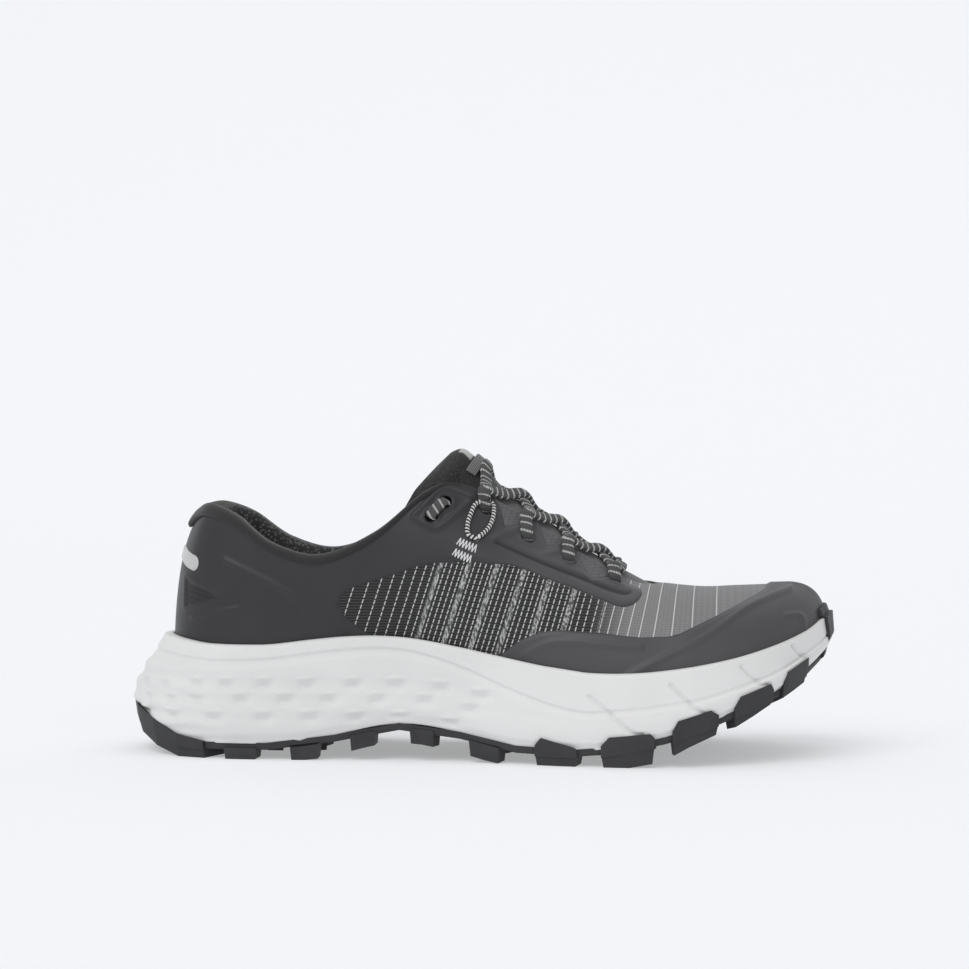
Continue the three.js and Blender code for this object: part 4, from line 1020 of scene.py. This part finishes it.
def collar_piece(material):
    t = np.linspace(-LINING_END, LINING_END, COLLAR_STATIONS)
    point, normal, rise = edge_frame(t)
    pad = lining(t)
    face = WALL + 0.5
    skin_face = -FILM - 0.1

    def over(height, depth):
        return point + rise * np.asarray(height)[..., None] - normal * np.asarray(depth)[..., None]

    def below(distance, depth):
        return last(t, share_below_edge(t, distance), depth)

    heel = np.exp(-(t / 0.62) ** 2)
    rear = np.exp(-(t / 2.0) ** 4)
    full = 1 - 0.97 * smoothstep(np.abs(t), 6.0, LINING_END)
    roll = (COLLAR_ROLL + 1.2 * rear) * full
    section = np.stack([
        below(PAD_DEPTH, face), below(PAD_DEPTH * 0.5, face), below(4.0, face),
        over(0.2, face), over(0.45, FILM * -0.4),
        below(1.3 + 1.3 * rear + 6.6 * heel, skin_face),
        below(1.1 + 1.3 * rear + 6.8 * heel, skin_face - 0.8 * full - 1.7 * heel),
        below(0.4 + 0.6 * rear + 2.4 * heel, skin_face - 1.1 * full - 1.0 * heel),
        over((0.9 + 0.5 * rear) * full, skin_face - 1.0 * full),
        over(0.85 * roll, WALL * 0.1), over(roll, face + 0.25 * pad),
        over(0.75 * roll, face + 0.7 * pad), over(-1.5, face + pad * 1.02),
        below(PAD_DEPTH * 0.3, face + pad * 1.05), below(PAD_DEPTH * 0.6, face + pad * 0.95),
        below(PAD_DEPTH, face + 0.3 * pad),
    ], 1)
    grid = smooth_columns(section, COLLAR_STEPS)
    column = np.arange(grid.shape[1]) / COLLAR_STEPS
    binding = smoothstep(column, 3.2, 4.0) * (1 - smoothstep(column, 9.6, 9.9))
    fields = {"binding": np.broadcast_to(binding, grid.shape[:2])}
    quads = grid_quads(*grid.shape[:2], False, True)
    piece = build("collar_lining", grid, quads, material, fields, ["collar"])


def smooth_columns(section, times):
    """Closed smooth curve through each row of points"""
    rows = []
    count = section.shape[1]
    for k in range(count):
        around_k = [section[:, (k + j) % count] for j in (-1, 0, 1, 2)]
        rows += [spline(*around_k, u) for u in np.arange(times) / times]
    return np.stack(rows, 1)


# Direction square to the throat's edge, in which the tongue bows up
BOW = unit(np.array([
    edge_rows["height"][7] - edge_rows["height"][10], 0.0,
    (edge_rows["at"][10] - edge_rows["at"][7]) * SOLE_LENGTH,
]))
TONGUE_PEAK = 2.3  # mm that the tongue's end rises above the CAD's line


def tongue_face(t, w, inset):
    t, w, inset = np.broadcast_arrays(np.asarray(t, float), np.asarray(w, float), np.asarray(inset, float))
    free = np.maximum(0, LINING_END - t) * TONGUE_TAPER
    room = (lining(t) + GAP) * (1 - smoothstep(t, LINING_END + 0.3, LINING_END + 1.2))
    depth = WALL + 2.5 * GAP + room + free + inset
    station = -np.sign(w + 1e-12) * t
    beyond = np.maximum(np.abs(w) - 1, 0) * TONGUE_WING
    wing = last(station, share_below_edge(station, np.maximum(beyond, 1e-3)), depth)
    outer, inner = last(t, 1.0, depth), last(-t, 1.0, depth)
    height = tongue_lift(t) * TONGUE_RISE - 0.3 * inset + TONGUE_PEAK * (1 - smoothstep(t, 5.5, 6.3))
    arch = outer + (inner - outer) * ((w + 1) / 2)[..., None]
    fullness = 1 - 0.6 * (1 - smoothstep(t, 5.9, 7.0))
    arch = arch + BOW * (height * np.maximum(np.cos(w * math.pi / 2), 0) ** fullness)[..., None]
    return np.where((np.abs(w) > 1)[..., None], wing, arch)


def tongue_end(w):
    """Station of the tongue's end across its width w, which is 1 at the throat's edge"""
    middle = 5.45 - 0.6 * np.minimum(np.abs(w), 0.75)
    return np.where(np.abs(w) <= 1, middle, 5.0 + 0.8 * (np.abs(w) - 1))


def tongue_piece(material):
    uu, ww = np.meshgrid(np.linspace(0, 1, 150), np.linspace(-2, 2, 121), indexing="ij")
    front = TONGUE_STATION[-1]
    tt = front + (tongue_end(ww) - front) * uu
    thick = TONGUE_PAD * np.where(np.abs(ww) > 1.6, 0.4, 1.0)
    ends = np.sqrt(np.clip(1 - ((uu - 0.5) / 0.5) ** 16, 0.02, 1))
    sides = np.sqrt(np.clip(1 - (np.abs(ww) / 2) ** 14, 0.02, 1))
    half = thick * 0.5 * ends * sides
    middle = TONGUE_PAD * 0.5
    top, under = tongue_face(tt, ww, middle - half), tongue_face(tt, ww, middle + half)
    grid = np.concatenate([top, under[:, ::-1]], 1)
    on_top = smoothstep(tt, 5.7, 5.78) * (1 - smoothstep(tt, 6.5, 6.6))
    patch = on_top * (1 - smoothstep(np.abs(ww), 0.3, 0.36))
    fields = {
        "patch": np.concatenate([patch, patch * 0], 1),
        "lower": np.concatenate([smoothstep(tt, 7.0, 7.6)] * 2, 1),
    }
    quads = tube_quads(*grid.shape[:2])
    piece = build("padded_tongue", grid, quads, material, fields, ["tongue"])


def over_tongue(t, w, lift):
    """Point a lift above the tongue's face, and the direction that the face looks in"""
    right, left = (0 if w > 0.9 else NEAR), (0 if w < -0.9 else NEAR)
    across = tongue_face(t, w + right, 0) - tongue_face(t, w - left, 0)
    along = tongue_face(t + NEAR, w, 0) - tongue_face(t - NEAR, w, 0)
    normal = unit(np.cross(along, across))
    normal = normal if normal[2] > 0 else -normal
    return tongue_face(t, w, 0) + normal * lift, normal


def on_wall(t, down, height):
    """Point a height over the film, a distance down from the throat's edge, and its direction"""
    t = np.array(t, float)
    v = share_below_edge(t, down)
    normal = unit(last(t, v, -1.0) - last(t, v, 0.0))
    return last(t, v, -GAP - FILM - height), normal


def tape_grid(places, width, thickness, sides, power=0.7, count=60):
    """Tape along a smooth line through places, its flat side turned to their directions"""
    points, normals = (np.array(part) for part in zip(*places))
    joined = curve_through(np.concatenate([points, normals * 10], 1), count)
    line, facing = joined[:, :3], unit(joined[:, 3:])
    along = unit(np.gradient(line, axis=0))
    across = unit(np.cross(along, facing))
    over = np.cross(across, along)
    angle = (np.arange(sides) + 0.5) / sides * 2 * math.pi
    wide, high = (np.sign(k) * np.abs(k) ** power for k in (np.cos(angle), np.sin(angle)))
    wide, high = wide * width / 2, high * thickness / 2
    grid = line[:, None] + across[:, None] * wide[:, None] + over[:, None] * high[:, None]
    fields = {
        "along": np.broadcast_to(run_along(line)[:, None], grid.shape[:2]),
        "across": np.broadcast_to(wide, grid.shape[:2]),
    }
    return grid, fields


def merged(name, tapes, material, replaces):
    """One piece from several closed tapes"""
    points, quads, fields, start = [], [], {}, 0
    for grid, marks in tapes:
        points.append(grid.reshape(-1, 3))
        quads.append(tube_quads(*grid.shape[:2]) + start)
        for key, values in marks.items():
            fields.setdefault(key, []).append(np.ravel(values))
        start += len(points[-1])
    fields = {key: np.concatenate(values) for key, values in fields.items()}
    build(name, np.concatenate(points), np.concatenate(quads), material, fields, replaces)


KEEPER_BACK = 0.38  # stations that the first bar bends back to the keeper
CROSSING = 2.3  # mm that one run lies above the other where they cross
HIDDEN = 2.6  # mm that the lace's ends go in behind the wall
LACE_SIDES, LACE_POINTS = 18, 110
TIE_WIDTH, TIE_THICKNESS = 4.8, 1.5  # of the lace between the two spare holes
CORD = 1.9


def strand(outer, inner, back=0.0, over=0.0):
    """Lace from a hole of the outer side, over the tongue, to a hole of the inner side"""
    rest = 4 * GAP + LACE_THICKNESS / 2
    step = WALL + FILM + 2 * GAP

    def hole(station, down, side):
        return [
            on_wall(side * station, down + 0.4, -WALL - HIDDEN),
            on_wall(side * station, down - 0.3, 0.3),
            on_wall(side * station, down - 2.6, rest - 0.5),
        ]

    places = [*hole(*outer, 1), on_wall(outer[0], outer[1] * 0.4, rest)]
    for w in np.linspace(-1, 1, 7):
        t = outer[0] + (inner[0] - outer[0]) * (w + 1) / 2 - back * (1 - w * w)
        if abs(w) == 1:
            places.append(on_wall(-w * t, 0.0, rest + GAP))
        else:
            rise = step * float(smoothstep(abs(w), 0.5, 1.0)) + over * math.exp(-(w / 0.4) ** 2)
            places.append(over_tongue(t, w, LACE_THICKNESS * 0.65 + rise))
    places += [on_wall(-inner[0], inner[1] * 0.4, rest), *hole(*inner, -1)[::-1]]
    return tape_grid(places, LACE_WIDTH, LACE_THICKNESS, LACE_SIDES, count=LACE_POINTS)


def laces_piece(material):
    laced = EYELETS[FIRST_LACED:]
    tapes = [strand(laced[0], laced[0], KEEPER_BACK), strand(laced[-1], laced[-1])]
    for first, second in zip(laced[:-1], laced[1:]):
        tapes += [strand(first, second, over=CROSSING), strand(second, first)]
    low, high = np.array(EYELETS[0]), np.array(EYELETS[1])
    route = ((high, -WALL - 2), (high, 0.3), ((high + low) / 2, 1.0), (low, 0.3), (low, -WALL - 2))
    for side in (1, -1):
        places = [on_wall(side * station, down, height) for (station, down), height in route]
        tapes.append(tape_grid(places, TIE_WIDTH, TIE_THICKNESS, 14, count=40))
    merged("lace_runs", tapes, material, ["laces"])


CORD_ROUTE = (  # side view, and height over the skin
    (-0.6, 91.0, -1.5), (-0.8, 92.5, 1.6), (-4.0, 94.2, 2.0), (-4.4, 98.7, 2.0), (-3.2, 103.1, 2.2),
    (-1.6, 106.5, 2.4), (1.9, 107.6, 2.6), (5.2, 106.4, 2.4), (5.9, 101.7, 2.2), (4.3, 96.9, 2.0),
    (1.5, 93.9, 1.8), (0.2, 92.9, 1.6), (0.0, 91.4, -1.5),
)


def cord_piece(side, material):
    end = "outer" if side > 0 else "inner"
    places = [place_on_side(x, z, side, over, True) for x, z, over in CORD_ROUTE]
    tape = tape_grid(places, CORD, CORD, 14, power=1.0, count=110)
    merged(f"striped_cord_{end}", [tape], material, [f"cord_loop_{end}"])


KEEPER_STATION = 6.85
KEEPER_REACH = 0.62  # share of the tongue's half width that it goes to
KEEPER_WIDTH, KEEPER_THICKNESS = 5.0, 1.2


def keeper_piece(material):
    """Band across the tongue, behind the first bar of the lace"""
    places = []
    for w in np.linspace(-KEEPER_REACH, KEEPER_REACH, 15):
        places.append(over_tongue(KEEPER_STATION, w, 0.5 + 1.1 * (1 - (w / KEEPER_REACH) ** 4)))
    tape = tape_grid(places, KEEPER_WIDTH, KEEPER_THICKNESS, 18)
    merged("tongue_keeper", [tape], material, ["lace_keeper"])


TAB_HALF_LONG, TAB_HALF_HIGH = 25.0, 3.15
TAB_HEIGHT = 85.3  # of the line that its middle falls away from, mm
TAB_LOW, TAB_HIGH = 76.0, 94.0  # heights between which the heel is sampled for it
TAB_ROWS = 60


def tab_piece(material):
    """Light tab round the back of the heel, with round ends"""
    t = np.linspace(-1.6, 1.6, 180)
    heights = np.linspace(TAB_LOW, TAB_HIGH, TAB_ROWS)
    v_at = np.stack([share_at_height(t, np.full_like(t, z)) for z in heights], 1)
    place = last(t[:, None], v_at)
    normal = unit(last(t[:, None], v_at, -1.0) - place)
    run = run_along(place[:, TAB_ROWS // 2])
    u = np.abs(run - np.interp(0.0, t, run))[:, None] + np.zeros_like(v_at)
    w = np.abs(place[..., 2] - TAB_HEIGHT + 0.21 * np.sqrt(u ** 2 + 30))
    past = np.maximum(u - (TAB_HALF_LONG - TAB_HALF_HIGH), 0)
    depth = TAB_HALF_HIGH - np.sqrt(past ** 2 + w ** 2)
    height = FILM + np.clip(depth * 0.8, -0.6, 0.7)
    quads = grid_quads(*v_at.shape)
    quads = quads[(depth.ravel()[quads] > -0.9).all(1)]
    build("heel_reflector", place + normal * height[..., None], quads, material, None, ["heel_tab"])


TACKS = (((-8.3, 91.0), (-0.5, 87.6)), ((-9.9, 86.7), (-2.4, 83.5)))  # from and to, (x, z)
TACK_TURNS = 13
TACK_HALF = 1.5  # mm that the zigzag swings up and down


def tack_pieces(material):
    """Two white bar tacks of zigzag stitches under the cord loop, on both sides"""
    tapes = []
    for start, end in TACKS:
        for side in (1, -1):
            turns = []
            for k in range(TACK_TURNS):
                x, z = (a + (b - a) * k / (TACK_TURNS - 1) for a, b in zip(start, end))
                x, z = (x + 0.6, z + TACK_HALF) if k % 2 else (x - 0.6, z - TACK_HALF)
                turns.append(place_on_side(x, z, side, FILM + 0.25))
            places = []
            for (here, normal), (there, _) in zip(turns[:-1], turns[1:]):
                places += [(here * (1 - u) + there * u, normal) for u in (0.06, 0.5, 0.94)]
            tapes.append(tape_grid(places, 0.55, 0.4, 6, count=TACK_TURNS * 10))
    merged("bar_tacks", tapes, material, [])


def place_on_side(x, z, side, height, level=False):
    """Point of the skin nearest to (x, z) in the side view, on one side"""
    half = (t_line > 0) & (t_line < TOE) if side > 0 else (t_line > TOE)
    grid = side_xz[half]
    away = np.hypot(grid[..., 0] - x, grid[..., 1] - z)
    k = np.unravel_index(away.argmin(), away.shape)
    normal = skin_normal[half][k]
    point = skin[half][k].copy()
    point[0], point[2] = x, z
    lift = np.array([0.0, normal[1] / max(0.4, abs(normal[1])), 0.0]) if level else normal
    return point + lift * height, normal


def bevelled(node, material, width):
    """A CAD node with its own material and softened edges"""
    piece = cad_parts[node]
    piece.data.materials.clear()
    piece.data.materials.append(material)
    bevel = piece.modifiers.new("edges", "BEVEL")
    bevel.width = width
    bevel.segments = 2
    bevel.limit_method = "ANGLE"
    bevel.angle_limit = math.radians(38)


# Studio

LIGHTS = (  # name, place, size, power; each looks at TARGET
    ("key", (-0.9, -1.1, 2.0), 1.6, 5),
    ("top", (0.3, 0.5, 2.2), 1.8, 4),
    ("front", (1.1, -1.9, 0.9), 1.4, 3),
)
TARGET = (0, 0, 0.05)
SUN_LOOK = (0.34, 0.59, -0.73)
PAPER = (0.62, 0.632, 0.655)
SHEET_REACH, SHEET_DEPTH, SHEET_BEND, SHEET_HEIGHT = 12.0, 1.6, 0.9, 4.0  # m


def backdrop():
    """Sheet of paper that lies under the shoe and rises behind it"""
    paper = Graph("backdrop").finish(
        PAPER, 1.0, Specular_IOR_Level=0.0, Emission_Color=(0.9, 0.905, 0.91, 1), Emission_Strength=0.385,
    )
    profile = [(-SHEET_REACH, 0.0), (SHEET_DEPTH, 0.0)]
    for angle in np.linspace(0, math.pi / 2, 24)[1:]:
        profile.append((SHEET_DEPTH + SHEET_BEND * math.sin(angle), SHEET_BEND * (1 - math.cos(angle))))
    profile.append((SHEET_DEPTH + SHEET_BEND, SHEET_HEIGHT))
    points = [(side * SHEET_REACH, y, z) for side in (-1, 1) for y, z in profile]
    mesh = bpy.data.meshes.new("backdrop")
    mesh.from_pydata(points, [], grid_quads(2, len(profile)).tolist())
    mesh.polygons.foreach_set("use_smooth", np.ones(len(mesh.polygons), dtype=bool))
    mesh.materials.append(paper)
    sheet = show("backdrop", mesh)


def studio():
    world = bpy.data.worlds.new("studio")
    bpy.context.scene.world = world
    world.use_nodes = True
    sky = world.node_tree.nodes["Background"].inputs
    sky["Color"].default_value = (0.95, 0.953, 0.96, 1)
    sky["Strength"].default_value = 0.46
    backdrop()
    for name, place, size, power in LIGHTS:
        data = bpy.data.lights.new(name, "AREA")
        data.size = size
        data.energy = power
        stand(data, place, Vector(TARGET) - Vector(place))
    sun = bpy.data.lights.new("sun", "SUN")
    sun.energy = 0.95
    sun.angle = math.radians(50)
    stand(sun, (0, 0, 0), SUN_LOOK)
    bpy.context.scene.view_settings.view_transform = "Standard"


make_camera()
studio()

foam_skin, rubber = foam_material(), rubber_material()
film, fabric = film_material(), fabric_material()
textile = knit_material("textile", (0.03, 0.03, 0.031), (0.15, 0.15, 0.152), 700.0)
cloth = knit_material("tongue_cloth", (0.022, 0.022, 0.023), (0.06, 0.06, 0.061), 1400.0)
lace, cord, webbing = lace_material(), cord_material(), webbing_material()
reflector = plain_material("reflector", (0.62, 0.62, 0.615), 0.4)
thread = plain_material("thread", (0.78, 0.78, 0.78), 0.6)

upper_piece(fabric)
toe_side = (side_xz[..., 0] > 4) & ((side_xz[..., 1] < 60) | (side_xz[..., 0] > 90))
film_piece("film_toe", toe_side, film, ["toe_cap"])
film_piece("film_quarters", ~toe_side, film, ["heel_counter", "quarter_outer", "quarter_inner"])
foam_piece(foam_skin)
bevelled("outsole", rubber, 0.0004)
bevelled("insole", textile, 0.0005)
collar_piece(textile)
tongue_piece(cloth)
laces_piece(lace)
for side in (1, -1):
    cord_piece(side, cord)
keeper_piece(webbing)
tab_piece(reflector)
tack_pieces(thread)
